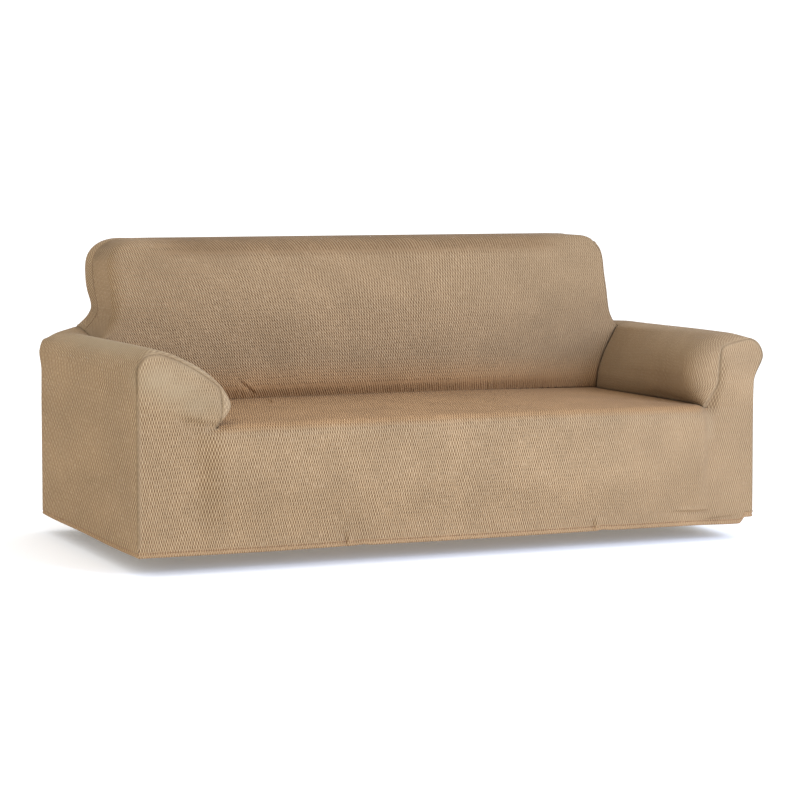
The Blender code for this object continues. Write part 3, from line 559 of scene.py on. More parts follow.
UP = even(0.0, 1.0, UP_LINES, BESIDE_PATCH, both=True)
ACROSS = even(0.0, 1.0, ACROSS_LINES, BESIDE_PATCH)
STEPS_ROUND = even(0, ROUND_STEPS, ROUND_LINES, BESIDE_ROUND)
STEPS_ARM = np.concatenate((STEPS_ROUND, ROUND_STEPS + np.interp(
    np.linspace(0, 1, ARM_LINES)[1:], (0.0,) + ARM_SHARE, range(len(ARM_SHARE) + 1))))
SEAM_LINES = [seam + n * BESIDE_WRAP for seam in (SEAM_STEP_LEFT, SEAM_STEP_RIGHT) for n in range(-3, 4)]
STEPS_HULL = each_once(
    np.linspace(0, ROUND_STEPS, ROUND_LINES), np.linspace(ROUND_STEPS, BODY_STEPS, BODY_LINES),
    np.linspace(BODY_STEPS, HULL_STEPS, REAR_LINES), SEAM_LINES)
ROWS = each_once(*(np.linspace(*run) for run in ROW_LINES))
# Keys round an arm: from the split level to its roll, over it to the nose, and from the crease up to there.
KEYS_LOW = SPLIT_KEY + (ROLL_KEY - SPLIT_KEY) * UP
KEYS_OVER = ROLL_KEY + (NOSE_KEY - ROLL_KEY) * ACROSS
KEYS_UNDER = ARM_KEYS - (ARM_KEYS - NOSE_KEY) * UP
KEYS_HIGH = KEYS_OVER[ACROSS <= 0.5]
KEYS_INNER = np.concatenate((KEYS_OVER[ACROSS >= 0.5], KEYS_UNDER[-2::-1]))
SIDE_KEYS = np.linspace(FOOT_KEY, CORNER_KEY, SIDE_LINES)
SHARES = each_once(np.linspace(-1, 1, TOP_LINES), *(np.arange(*span, CLOSE_PITCH) for span in CLOSE_SPANS))
TOP_LINE = CORNER_KEY + np.interp(SHARES, COLUMNS, range(len(COLUMNS)))


def tongue_line(side):
    """Places across the front from a side's outer edge to the seat."""
    edge = SEAT_LEFT if side < 0 else SEAT_RIGHT
    return side * HALF_WIDTH + (edge - side * HALF_WIDTH) * ACROSS


def seat_places(left, right):
    """Places across the seat, from its left edge to its right."""
    return left + (right - left) * (SHARES + 1) / 2


class Cloth:
    """One cloth of the cover, joined from grids of points."""

    def __init__(self, name):
        self.name = name
        self.bm = bmesh.new()
        self.uv = self.bm.loops.layers.uv.new("cloth")

    def add(self, spots, cloth_places, flip=False):
        """Adds a grid of points, with each point's place on the flat cloth in metres."""
        rows, columns = spots.shape[:2]
        start = len(self.bm.verts)
        first_face = len(self.bm.faces)
        bmesh.ops.create_grid(self.bm, x_segments=columns - 1, y_segments=rows - 1, size=0.5)
        self.bm.verts.ensure_lookup_table()
        self.bm.faces.ensure_lookup_table()
        spots = (spots - HELD_AT).reshape(-1, 3)
        flat = cloth_places.reshape(-1, 2)
        made = self.bm.verts[start:]
        order = {v: n for n, v in enumerate(made)}
        for n, vert in enumerate(made):
            vert.co = spots[n]
        faces = self.bm.faces[first_face:]
        for face in faces:
            face.smooth = True
            for loop in face.loops:
                loop[self.uv].uv = flat[order[loop.vert]]
        if flip:
            bmesh.ops.reverse_faces(self.bm, faces=faces)

    def finish(self):
        """Makes the object, welded, and keeps its open edges as pairs of vertex numbers."""
        bmesh.ops.remove_doubles(self.bm, verts=self.bm.verts, dist=WELD)
        self.bm.verts.index_update()
        self.rim = np.array([[v.index for v in e.verts] for e in self.bm.edges if e.is_boundary])
        mesh = bpy.data.meshes.new(self.name)
        self.bm.to_mesh(mesh)
        self.bm.free()
        self.obj = add_object(self.name, mesh)
        return self

    def move(self, spots):
        """Moves its points."""
        self.obj.data.vertices.foreach_set("co", (spots - HELD_AT).ravel())
        self.obj.data.update()

    def mark(self, name, values):
        """Gives each point a number that the material reads."""
        self.obj.data.attributes.new(name, "FLOAT", "POINT").data.foreach_set("value", values)


def laid(first, second):
    """Places on the flat cloth from two arrays of metres."""
    return np.stack(np.broadcast_arrays(first, second), -1).astype(float)


def run_lengths(spots, axis):
    """Running length along the lines of a grid of points."""
    steps = np.linalg.norm(np.diff(spots, axis=axis), axis=-1)
    zero = np.zeros_like(np.take(steps, [0], axis=axis))
    return np.concatenate((zero, np.cumsum(steps, axis=axis)), axis=axis)


def make_seat_front():
    """The cloth of the front, the two tongues and the seat."""
    cloth = Cloth("seat_front_cloth")
    seat = seat_places(SEAT_LEFT, SEAT_RIGHT)
    line = np.concatenate((tongue_line(-1), seat[1:-1], np.sort(tongue_line(1))))
    across, rows = np.meshgrid(line, ROWS)
    apron = front_wall(across, rows)
    cloth.add(apron, laid(across, apron[..., 2]))

    lines = [front_wall(seat, np.full(seat.shape, float(LAST_ROW)))]
    for step in STEPS_ARM[1:]:
        left, right = (arm_line(side, float(ARM_KEYS), step) for side in (-1, 1))
        row = seat_line(seat_places(left[0], right[0]), step)
        row[0], row[-1] = left, right
        lines.append(row)
    top = np.array(lines)
    cloth.add(top, laid(top[..., 0], SPLIT_HEIGHT + run_lengths(top, 0)))

    for side in (-1, 1):
        bottom_x = tongue_line(side)
        bottom = front_wall(bottom_x, np.full(bottom_x.shape, float(LAST_ROW)))
        patch = fill(bottom, arm_line(side, KEYS_OVER, 0), arm_line(side, KEYS_LOW, 0),
                     arm_line(side, KEYS_UNDER, 0))
        high, wide = np.meshgrid(UP, ACROSS, indexing="ij")
        patch[..., 1] -= TONGUE_PUFF * 4 * high * (1 - high) * wide * (1 - wide)
        cloth.add(patch, laid(patch[..., 0], patch[..., 2]), flip=side > 0)
    return cloth.finish()


def make_arm(side, name):
    """The cloth of an arm: its outer side back to the rear, over it and down to the seat."""
    cloth = Cloth(name)
    steps = np.concatenate((STEPS_ARM, ARM_STEPS + STEPS_HULL[1:]))
    keys = np.concatenate((KEYS_LOW[1:], KEYS_HIGH[1:]))
    stretch = STRETCH_LEFT if side < 0 else STRETCH_RIGHT
    outer = np.array([np.concatenate((side_wall(side, s, ROWS), arm_line(side, keys, s))) for s in steps])
    # Heights on the flat cloth are those a third of the way back.
    middle = run_lengths(outer, 1)[len(outer) // 3]
    cloth.add(outer, laid(run_lengths(outer, 0) * stretch, middle[None]), flip=side > 0)
    inner = np.array([arm_line(side, KEYS_INNER, s) for s in STEPS_ARM])
    round_it = middle[-1] + run_lengths(inner, 1)[len(inner) // 3]
    cloth.add(inner, laid(run_lengths(inner, 0) * stretch, round_it[None]), flip=side > 0)
    return cloth.finish()


HULL_WRAPS = ((np.concatenate((SIDE_KEYS, TOP_LINE[1:])), SEAM_STEP_LEFT),
              (LAST_KEY - SIDE_KEYS[::-1], SEAM_STEP_RIGHT))


def wrapped(spots, keys, step):
    """Places on the flat cloth of points that run over an edge, on from the outline at a step."""
    level = spots[..., [0, 2]]
    extra = (run_lengths(spots, 0) - run_lengths(level, 0)) * STRETCH_WRAP
    ahead, behind = (hull_line(np.clip(keys + nudge, 0, LAST_KEY), step)[:, [0, 2]]
                     for nudge in (KEY_NUDGE, -KEY_NUDGE))
    run = (ahead - behind) / np.linalg.norm(ahead - behind, axis=1, keepdims=True)
    outward = np.stack((-run[:, 1], run[:, 0]), -1)
    sideways = np.stack((np.where(keys < LAST_KEY / 2, -1, 1), np.zeros(len(keys))), -1)
    share = soft_step(*SMOOTH_KEYS, np.minimum(keys, LAST_KEY - keys))[:, None]
    outward = sideways * (1 - share) + outward * share
    return level + outward * extra[..., None]


def leaning(x, z):
    """Places on the flat cloth of the back, whose rows of grain lean more towards its left."""
    lean = GRAIN_LEAN[0] + (GRAIN_LEAN[1] - GRAIN_LEAN[0]) * soft_step(-BACK_HALF, BACK_HALF, x)
    return laid(x + lean * (z - SPLIT_HEIGHT), z)


def make_back_inner():
    """The cloth of the front of the back, with its soft edge."""
    cloth = Cloth("back_inner_cloth")
    left, right = (arm_line(side, float(ARM_KEYS), ARM_STEPS) for side in (-1, 1))
    crease = seat_line(seat_places(left[0], right[0]), ARM_STEPS)
    crease[0], crease[-1] = left, right
    sides = []
    for side in (-1, 1):
        low = arm_line(side, KEYS_INNER[::-1], ARM_STEPS)
        high = hull_line(SIDE_KEYS[1:] if side < 0 else LAST_KEY - SIDE_KEYS[1:], 0)
        sides.append(np.concatenate((low, high)))
    face = fill(crease, hull_line(TOP_LINE, 0), *sides)
    inner = face[1:-1, 1:-1]
    climb = CLOSEST_ROWS * np.arange(len(inner))[:, None]
    inner[..., 2] = np.maximum.accumulate(inner[..., 2] - climb) + climb
    inner[..., 1] = back_face(inner[..., 0], inner[..., 2])
    cloth.add(face, leaning(face[..., 0], face[..., 2]))
    for keys, last_step in HULL_WRAPS:
        spots = np.array([hull_line(keys, s) for s in STEPS_HULL[STEPS_HULL <= last_step]])
        flat = wrapped(spots, keys, 0)
        cloth.add(spots, leaning(flat[..., 0], flat[..., 1]))
    return cloth.finish()


def make_back_outer():
    """The cloth of the rear, which comes over the top of the back."""
    cloth = Cloth("back_outer_cloth")
    last = ARM_STEPS + HULL_STEPS
    for keys, first_step in HULL_WRAPS:
        spots = np.array([hull_line(keys, s) for s in STEPS_HULL[STEPS_HULL >= first_step]])
        around = run_lengths(spots[-1:], 1)[0] - run_lengths(spots[-1:], 1)[0, -1] / 2
        cloth.add(spots, laid(around[None], -run_lengths(spots, 0)))

    left, right = (np.concatenate((side_wall(side, last, ROWS), arm_line(side, KEYS_LOW[1:], last)))
                   for side in (-1, 1))
    left_top, right_top = (arm_line(side, KEYS_HIGH, last) for side in (-1, 1))
    foot, other = left_top[-1], right_top[-1]
    bridge = foot + (other - foot) * ((SHARES + 1) / 2)[:, None]
    bridge[1:-1, 1] = DEPTH + REAR_BULGE * (1 - (bridge[1:-1, 0] / HALF_WIDTH) ** 2)
    top = np.concatenate((left_top, bridge[1:-1], right_top[::-1]))
    stretch = (right[0][0] - left[0][0]) / (top[-1][0] - top[0][0])
    bottom = rear_wall(left[0][0] + (top[:, 0] - top[0][0]) * stretch, np.zeros(len(top)))
    bottom[0], bottom[-1] = left[0], right[0]
    lower = fill(bottom, top, left, right)
    walls = lower[1:len(ROWS), 1:-1]
    walls[...] = rear_wall(walls[..., 0], np.broadcast_to(ROWS[1:, None], walls.shape[:2]))
    cloth.add(lower, laid(lower[..., 0], lower[..., 2]), flip=True)
    upper = fill(bridge, hull_line(TOP_LINE, HULL_STEPS), hull_line(SIDE_KEYS, HULL_STEPS),
                 hull_line(LAST_KEY - SIDE_KEYS, HULL_STEPS))
    cloth.add(upper, laid(upper[..., 0], upper[..., 2]), flip=True)
    return cloth.finish()


# ---- Seams, folds and stitches ----

# Each sewn edge sinks by GROOVE, and the doubled cloth beside it stands up by RIDGE.
GROOVE = 0.0019
GROOVE_WIDTH = 0.0022
RIDGE = 0.0013
RIDGE_AT = 0.0055
RIDGE_WIDTH = 0.0026
# Edges above this height are sewn, and cloths this close to each other there share the seam.
SEAM_LOWEST = 0.085
SEAM_APART = 0.0015
# Beside a seam the knit is smooth and paler, and no longer so from the second of these distances on.
SEAM_CLEAR = (0.004, 0.011)
SEAM_SMOOTH = 0.9
SEAM_PALE = 0.10
# The least length that the mean of several facings is divided by.
LEAST_FACING = 0.01

# Folds, listed one by one, in millimetres: name, width, push outward, and the path they take over the cover.
MM = 0.001
FOLDS = (
    ("seat pleat", 5, 4.2, ((-336, 664, 414), (-350, 606, 414.5), (-372, 520, 414.5))),
    ("seat pleat side", 5, -4.5, ((-347, 664, 414), (-362, 604, 414.5), (-386, 512, 414.5))),
    ("back pleat", 5.5, -6, ((-442, 664, 474), (-417, 666, 455), (-372, 676, 420))),
    ("back pleat side", 5, 3.2, ((-430, 664, 476), (-402, 666, 454), (-358, 676, 420))),
    ("hem pucker left", 5.5, -4.8, ((-356, 0, 48), (-353, 0, 72), (-358, 0, 98))),
    ("hem pucker left side", 5.5, 3, ((-343, 0, 50), (-342, 0, 70), (-344, 0, 88))),
    ("hem pucker right", 7, 5, ((434, 0, 50), (436, 0, 76), (440, 0, 102))),
    ("hem pucker right side", 5, -3.6, ((422, 0, 50), (423, 0, 68), (420, 0, 86))),
    ("hem fold", 4.4, -8.5, ((672, 0, 94.5), (712, 0, 93), (764, 0, 91.5), (812, 0, 92.5), (822, 0, 84))),
    ("hem fold lip", 6, 5.2, ((680, 0, 103.5), (730, 0, 102.5), (776, 0, 100.5), (816, 0, 101.5))),
    ("hem lower fold", 3.8, -5, ((778, 0, 66.5), (820, 0, 67.5), (866, 0, 70), (915, 0, 73.5))),
    ("left swell", 10, 0.9, ((-731, -35, 376), (-743, -30, 331), (-749, -20, 288), (-745, -10, 236))),
    ("right swell", 9, 1.2, ((803, -30, 388), (806, -25, 338), (807, -20, 284))),
    ("right swell foot", 12, -0.7, ((824, -10, 392), (826, -10, 340), (822, -10, 276))),
    ("tongue fold", 14, -9.5, ((-862, 0, 428), (-812, -10, 413), (-768, -10, 406), (-728, 0, 412))),
    ("tongue fold upper", 18, 6, ((-838, 0, 452), (-796, -10, 436), (-756, -10, 430))),
    ("under nose", 9, -5.5, ((-752, -20, 398), (-728, -20, 405), (-706, 10, 412))),
    ("left arm fold", 18, -2.6, ((-955, 90, 520), (-955, 200, 500), (-955, 360, 492))),
    ("left arm roll", 22, 2.2, ((-945, 60, 585), (-942, 260, 592), (-944, 520, 588))),
    ("left arm pull", 16, -1.6, ((-960, 40, 380), (-960, 150, 300), (-960, 230, 190))),
    ("right pad pull", 14, -2.2, ((810, 110, 585), (795, 180, 520), (800, 230, 450))),
    ("right pad edge", 16, 2.2, ((800, 62, 590), (770, 75, 530), (768, 70, 460))),
    ("right pad foot", 10, -2.4, ((800, 80, 424), (785, 190, 424), (780, 330, 426))),
    ("right pad tip", 8, 3, ((788, 30, 404), (806, 16, 402), (822, 12, 398))),
    ("back pull left", 30, -2.6, ((-770, 665, 590), (-690, 655, 540), (-560, 650, 500))),
    ("back pull right", 26, -2.4, ((785, 668, 580), (730, 658, 520), (640, 655, 470))),
    ("back slack", 50, 2.6, ((-420, 645, 700), (-180, 640, 560), (-20, 645, 460))),
    ("seat slack", 45, -2, ((-520, 100, 414), (-300, 250, 416), (-80, 330, 416))),
    ("front pull left", 30, -1, ((-690, -30, 340), (-600, -30, 230), (-540, -10, 140))),
    ("front pull right", 34, -1, ((640, -30, 330), (560, -30, 240), (520, -10, 150))),
)
# How much of a fold's length it takes to rise at its start, and to die away at its end.
FOLD_RISE = 0.35
FOLD_FALL = 0.25

# Fine upright gathers, sewn in just above the seat's crease: how deep and how far apart they are, the
# heights between which they rise and those between which they die away, how far they reach to each side,
# and how far back the cloth that has them lies.
GATHER_DEPTH = 0.0024
GATHER_PITCH = 0.024
GATHER_RISE = (0.404, 0.416)
GATHER_FALL = (0.418, 0.456)
GATHER_HALF = 0.75
GATHER_BACK = 0.70
# Their unevenness across and in height, as waves: how much, how close, how far on.
GATHER_DRIFT = ((0.0045, 37, 0.0), (0.003, 91, 1.3))
GATHER_ENDS = ((0.012, 29, 0.6), (0.008, 67, 0.0))

# Where the knit is drawn smooth: middle and size in millimetres, how smooth, and how pale it is there. The
# paleness is partly the pulled cloth's own, partly a painted highlight where the arm tops and the tongue's
# domed face catch the light.
SMOOTHED = (
    ((-900, 0, 540), (75, 60, 46), 0.72, 0.26),
    ((-850, 0, 510), (80, 60, 40), 0.68, 0.25),
    ((-790, 0, 474), (70, 60, 38), 0.62, 0.22),
    ((-720, 20, 465), (60, 70, 60), 0.72, 0.20),
    ((-920, 400, 612), (60, 500, 30), 0.65, 0.30),
    ((895, 400, 618), (75, 500, 30), 0.65, 0.10),
    ((810, 0, 345), (24, 50, 60), 0.55, 0.10),
    ((-770, 50, 575), (130, 90, 50), 0.80, 0.30),
    ((-845, 720, 615), (50, 140, 45), 1.00, 0.0),
    ((790, 100, 560), (80, 140, 80), 0.60, 0.05),
    ((790, 420, 470), (50, 260, 80), 0.60, 0.10),
    ((-40, 700, 810), (300, 100, 70), 0.40, 0.0),
    ((-560, 700, 830), (220, 100, 50), 0.45, 0.0),
)
# Where the rows close up into fine upright ribs on the back, further back than ON_BACK_FROM: along its top
# and above its foot, fading away towards its sides.
# There the colour is also darker, a painted shade along the back's top edge and in the crease above its
# foot.
ON_BACK_FROM = 0.62
RIBS_AND_SHADE_TOP = (0.828, 0.868)
RIBS_AND_SHADE_FOOT = (0.425, 0.470)
RIBS_AND_SHADE_SIDE = (0.56, 0.72)
# The knit lies flatter and finer towards the cover's right.
CALM = 0.55
CALM_PALE = 0.03
CALM_ACROSS = (0.10, 0.72)
# Painted warm shade: the cloth is tinted warmer and darker on the seat where it faces up, and at the back's
# foot.
SEAT_FACING = (0.55, 0.95)
BACK_FOOT = (0.430, 0.540)
# The hem's band: how high it is and how softly it ends. It is the front's hem nearer than HEM_NEAR, and the
# rear's within HEM_REAR_HALF of the middle.
HEM_BAND = 0.0155
HEM_BAND_SOFT = 0.0012
HEM_NEAR = 0.02
HEM_REAR_HALF = 0.93

# Thread, drawn a little thicker and longer than it is so that it shows at this distance: its radius, a
# stitch's length, how far apart they are, and how uneven in place and length.
THREAD = 0.0010
THREAD_TAPER = 0.8
STITCH = 0.0052
STITCH_PITCH = 0.0085
STITCH_DRIFT = 0.12
STITCH_UNEVEN = 0.1
# The row of the walls that the hem's stitches run on, and how many places its line has across the front.
STITCH_ROW = 3.55
STITCH_PLACES = 200
# How far ahead a line's direction is read.
AHEAD = 0.001


def push(spots, path, width):
    """How much a fold along a path moves each spot: full on it, and less away from it and at its ends."""
    runs = np.linalg.norm(np.diff(path, axis=0), axis=1)
    nearest = np.full(len(spots), np.inf)
    along = np.zeros(len(spots))
    for n, run in enumerate(runs):
        line = path[n + 1] - path[n]
        share = np.clip((spots - path[n]) @ line / run ** 2, 0.0, 1.0)
        far = np.linalg.norm(spots - path[n] - share[:, None] * line, axis=1)
        closer = far < nearest
        nearest = np.where(closer, far, nearest)
        along = np.where(closer, (runs[:n].sum() + share * run) / runs.sum(), along)
    rise = soft_step(0.0, FOLD_RISE, along) * soft_step(0.0, FOLD_FALL, 1 - along)
    return np.exp(-(nearest / width) ** 2) * rise


def waves(rows, x):
    """Uneven values along x, as a sum of waves."""
    return sum(high * np.sin(x * close + on) for high, close, on in rows)


def gathers(spots):
    """How much the gathers above the seat move each spot of the back's front."""
    x, y, z = spots.T
    full, end = GATHER_FALL
    fade = 1 - soft_step(0.0, 1.0, (z - full) / (end + waves(GATHER_ENDS, x) - full))
    front = (y < GATHER_BACK) & (np.abs(x) < GATHER_HALF)
    deep = GATHER_DEPTH * front * fade * soft_step(*GATHER_RISE, z)
    return deep * np.cos(2 * np.pi * (x + waves(GATHER_DRIFT, x)) / GATHER_PITCH)


def hem_height(spots):
    """Height of the hem's lowest edge below each spot."""
    x, y, z = spots.T
    side = np.where(x < 0, curve(HEM_LEFT, y), curve(HEM_RIGHT, y))
    behind = np.where(np.abs(x) < HEM_REAR_HALF, HEM_LEFT[-1][1], side)
    return np.where(y < HEM_NEAR, curve(HEM_FRONT, x), behind)


def vectors(data, name):
    """The vectors that a mesh keeps by a name, as rows."""
    flat = np.empty(len(data) * 3)
    data.foreach_get(name, flat)
    return flat.reshape(-1, 3)


def lookup(spots):
    """A search tree that finds the spots near a place."""
    tree = kdtree.KDTree(len(spots))
    for n, spot in enumerate(spots):
        tree.insert(spot, n)
    tree.balance()
    return tree


def mark_the_knit(cloth, places, ways, far):
    """Marks each point for the material: far is its distance from a seam."""
    x, y, z = places.T
    smooth = SEAM_SMOOTH * (1 - soft_step(*SEAM_CLEAR, far))
    pale_and_lit = SEAM_PALE * smooth
    # Pale: partly the pulled cloth's own paler look, partly a painted highlight on the arm tops and the
    # tongue's domed face.
    for middle, size, share, light in SMOOTHED:
        near = np.exp(-(((places / MM - middle) / size) ** 2).sum(axis=1))
        smooth = np.maximum(smooth, share * near)
        pale_and_lit = np.maximum(pale_and_lit, light * near)
    calm = soft_step(*CALM_ACROSS, x)
    on_seat = cloth.name == "seat_front_cloth"
    on_back = cloth.name == "back_inner_cloth"
    # Painted warm shade: warmer and darker where the seat faces up, and at the back's foot.
    seat = on_seat * soft_step(*SEAT_FACING, ways[:, 2])
    foot = on_back * (1 - soft_step(*BACK_FOOT, z))
    # Painted shade: the back's top edge and the crease above its foot are darker, along with their ribs.
    ribs_and_shade = soft_step(*RIBS_AND_SHADE_TOP, z) + 1 - soft_step(*RIBS_AND_SHADE_FOOT, z)
    inside = (y > ON_BACK_FROM) * (1 - soft_step(*RIBS_AND_SHADE_SIDE, np.abs(x)))
    cloth.mark("hem", 1 - soft_step(0.0, HEM_BAND_SOFT, z - hem_height(places) - HEM_BAND))
    cloth.mark("warm_shade", np.maximum(seat, foot))
    cloth.mark("pale_and_lit", np.maximum(pale_and_lit, CALM_PALE * calm))
    cloth.mark("smooth", np.maximum(smooth, CALM * calm))
    cloth.mark("ribbed_and_shaded", ribs_and_shade * inside * on_back)


def work_the_cloth(cloths):
    """Sinks the sewn edges, raises the cloth beside them and lays in the folds."""
    spots = [vectors(cloth.obj.data.vertices, "co") + HELD_AT for cloth in cloths]
    facing = [vectors(cloth.obj.data.vertex_normals, "vector") for cloth in cloths]
    rims, seam = [], []
    for cloth, places in zip(cloths, spots):
        ends = places[cloth.rim]
        sewn = ends[:, :, 2].min(axis=1) > SEAM_LOWEST
        rims.append(np.unique(cloth.rim[sewn]))
        seam += [ends[sewn, 0] * (1 - t) + ends[sewn, 1] * t for t in (0.0, 0.25, 0.5, 0.75)]
    near_seam = lookup(np.concatenate(seam))
    near_rim = lookup(np.concatenate([places[rim] for places, rim in zip(spots, rims)]))
    rim_facing = np.concatenate([ways[rim] for ways, rim in zip(facing, rims)])
    for cloth, places, ways, rim in zip(cloths, spots, facing, rims):
        # The cloths on both sides of a seam move the same way there, so it stays shut.
        for n in rim:
            beside = [found[1] for found in near_rim.find_range(places[n], SEAM_APART)]
            ways[n] = rim_facing[beside].mean(axis=0)
        ways /= np.maximum(np.linalg.norm(ways, axis=1, keepdims=True), LEAST_FACING)
        far = np.array([near_seam.find(spot)[2] for spot in places])
        moved = RIDGE * np.exp(-((far - RIDGE_AT) / RIDGE_WIDTH) ** 2)
        moved -= GROOVE * np.exp(-(far / GROOVE_WIDTH) ** 2)
        for name, width, depth, path in FOLDS:
            moved += depth * MM * push(places, np.array(path) * MM, width * MM)
        if cloth.name == "back_inner_cloth":
            moved += gathers(places)
        cloth.move(places + ways * moved[:, None])
        mark_the_knit(cloth, places, ways, far)


def stitch_lines():
    """The hem's line of stitches round the cover, and those down the sides of the back."""
    x = np.linspace(-HALF_WIDTH, HALF_WIDTH, STITCH_PLACES)[2:-2]
    row = np.full(x.shape, STITCH_ROW)
    y_steps = np.concatenate((STEPS_ARM, ARM_STEPS + STEPS_HULL[1:]))
    sides = [np.array([side_wall(side, s, np.array(STITCH_ROW)) for s in y_steps]) for side in (-1, 1)]
    back = [hull_line(keys, step) for keys, step in (
        (SIDE_KEYS[2:], SEAM_STEP_LEFT), (LAST_KEY - SIDE_KEYS[2:], SEAM_STEP_RIGHT))]
    return [front_wall(x, row), sides[0], sides[1], rear_wall(x, row)] + back


def make_stitches():
    """Short stitches of thread, each a small rod that lies along its line."""
    bm = bmesh.new()
    for line in stitch_lines():
        run = run_lengths(line, 0)
        count = int(run[-1] / STITCH_PITCH)
        for n in range(1, count):
            at = (n + STITCH_DRIFT * math.sin(n * 1.7)) * STITCH_PITCH
            spot, ahead = (np.array([np.interp(place, run, line[:, a]) for a in range(3)])
                           for place in (at, at + AHEAD))
            turn = Vector(ahead - spot).to_track_quat("Z", "Y").to_matrix().to_4x4()
            where = Matrix.Translation(spot - HELD_AT) @ turn
            made = bmesh.ops.create_cone(bm, cap_ends=True, segments=6, radius1=THREAD,
                                         radius2=THREAD * THREAD_TAPER, matrix=where,
                                         depth=STITCH * (1 + STITCH_UNEVEN * math.sin(n * 2.3)))
            for vert in made["verts"]:
                for face in vert.link_faces:
                    face.smooth = True
    mesh = bpy.data.meshes.new("stitches")
    bm.to_mesh(mesh)
    bm.free()
    return add_object("stitches", mesh)


# ---- Materials ----

# The knit on the flat cloth, in metres: a loop's width and a row's height. Real loops are about 4 mm wide,
# finer than this picture can show, so they are drawn nearly twice as coarse.
LOOP = 0.0072
ROW = 0.0108
# How far the lines of loops wander, and over what length.
WANDER = 0.010
WANDER_LONG = 1 / 11
# Patches of taller loops, patches of lighter cloth, a strand of yarn, a slub's width and length, and how
# thick yarn has to be to count as a slub.
LOOP_PATCH = 1 / 38
LIGHT_PATCH = 1 / 7
STRAND = 1 / 700
SLUB_WIDE = 1 / 210
SLUB_LONG = 1 / 62
SLUB_RANGE = (0.50, 0.78)
# Heights of slubs and strands against the loops', how much and from what the loops' own height varies, how
# far a pull flattens them, how narrow their pale tops are, and the tint of the painted warm shade.
SLUB_HEIGHT = 0.2
STRAND_HEIGHT = 0.30
LOOP_VARIES = (0.9, 0.45)
FLATTENED = 0.92
TOPS_POWER = 1.6
WARM_SHADE_TINT = (1.12, 0.98, 0.84)
# One turn of the thread's twist. The wave pattern repeats every pi / 5 at a scale of 1.
TWIST = 0.001963
TWIST_SCALE = math.pi / 5 / TWIST
# Patches of the floor's faint mottle.
MOTTLE = 0.5
# Relief of the loops and of the thread's twist.
KNIT_RELIEF = 0.0030
THREAD_RELIEF = 0.0003


def colour(code):
    """A linear colour from its sRGB hex code."""
    shares = [int(code[n:n + 2], 16) / 255 for n in (0, 2, 4)]
    return tuple(s / 12.92 if s <= 0.04045 else ((s + 0.055) / 1.055) ** 2.4 for s in shares) + (1.0,)


def feed(made, inputs):
    """Fills or links a node's inputs, by number or name."""
    for name, value in inputs.items():
        if isinstance(value, bpy.types.NodeSocket):
            made.id_data.links.new(value, made.inputs[name])
        else:
            made.inputs[name].default_value = value


def node(tree, kind, *inputs, **settings):
    """Adds a node with its settings, feeds its inputs in order or by name, and gives its outputs."""
    made = tree.nodes.new("ShaderNode" + kind)
    for name in settings.keys() - set(made.inputs.keys()):
        setattr(made, name, settings.pop(name))
    slots = [n for n, slot in enumerate(made.inputs) if slot.enabled]
    feed(made, {**dict(zip(slots, inputs)), **settings})
    return made.outputs


def new_material(name, looks):
    """A material whose shader has these looks all over, with its shader and its way to add a node."""
    material = bpy.data.materials.new(name)
    material.use_nodes = True
    shader = material.node_tree.nodes["Principled BSDF"]
    feed(shader, looks)
    return material, shader, functools.partial(node, material.node_tree)


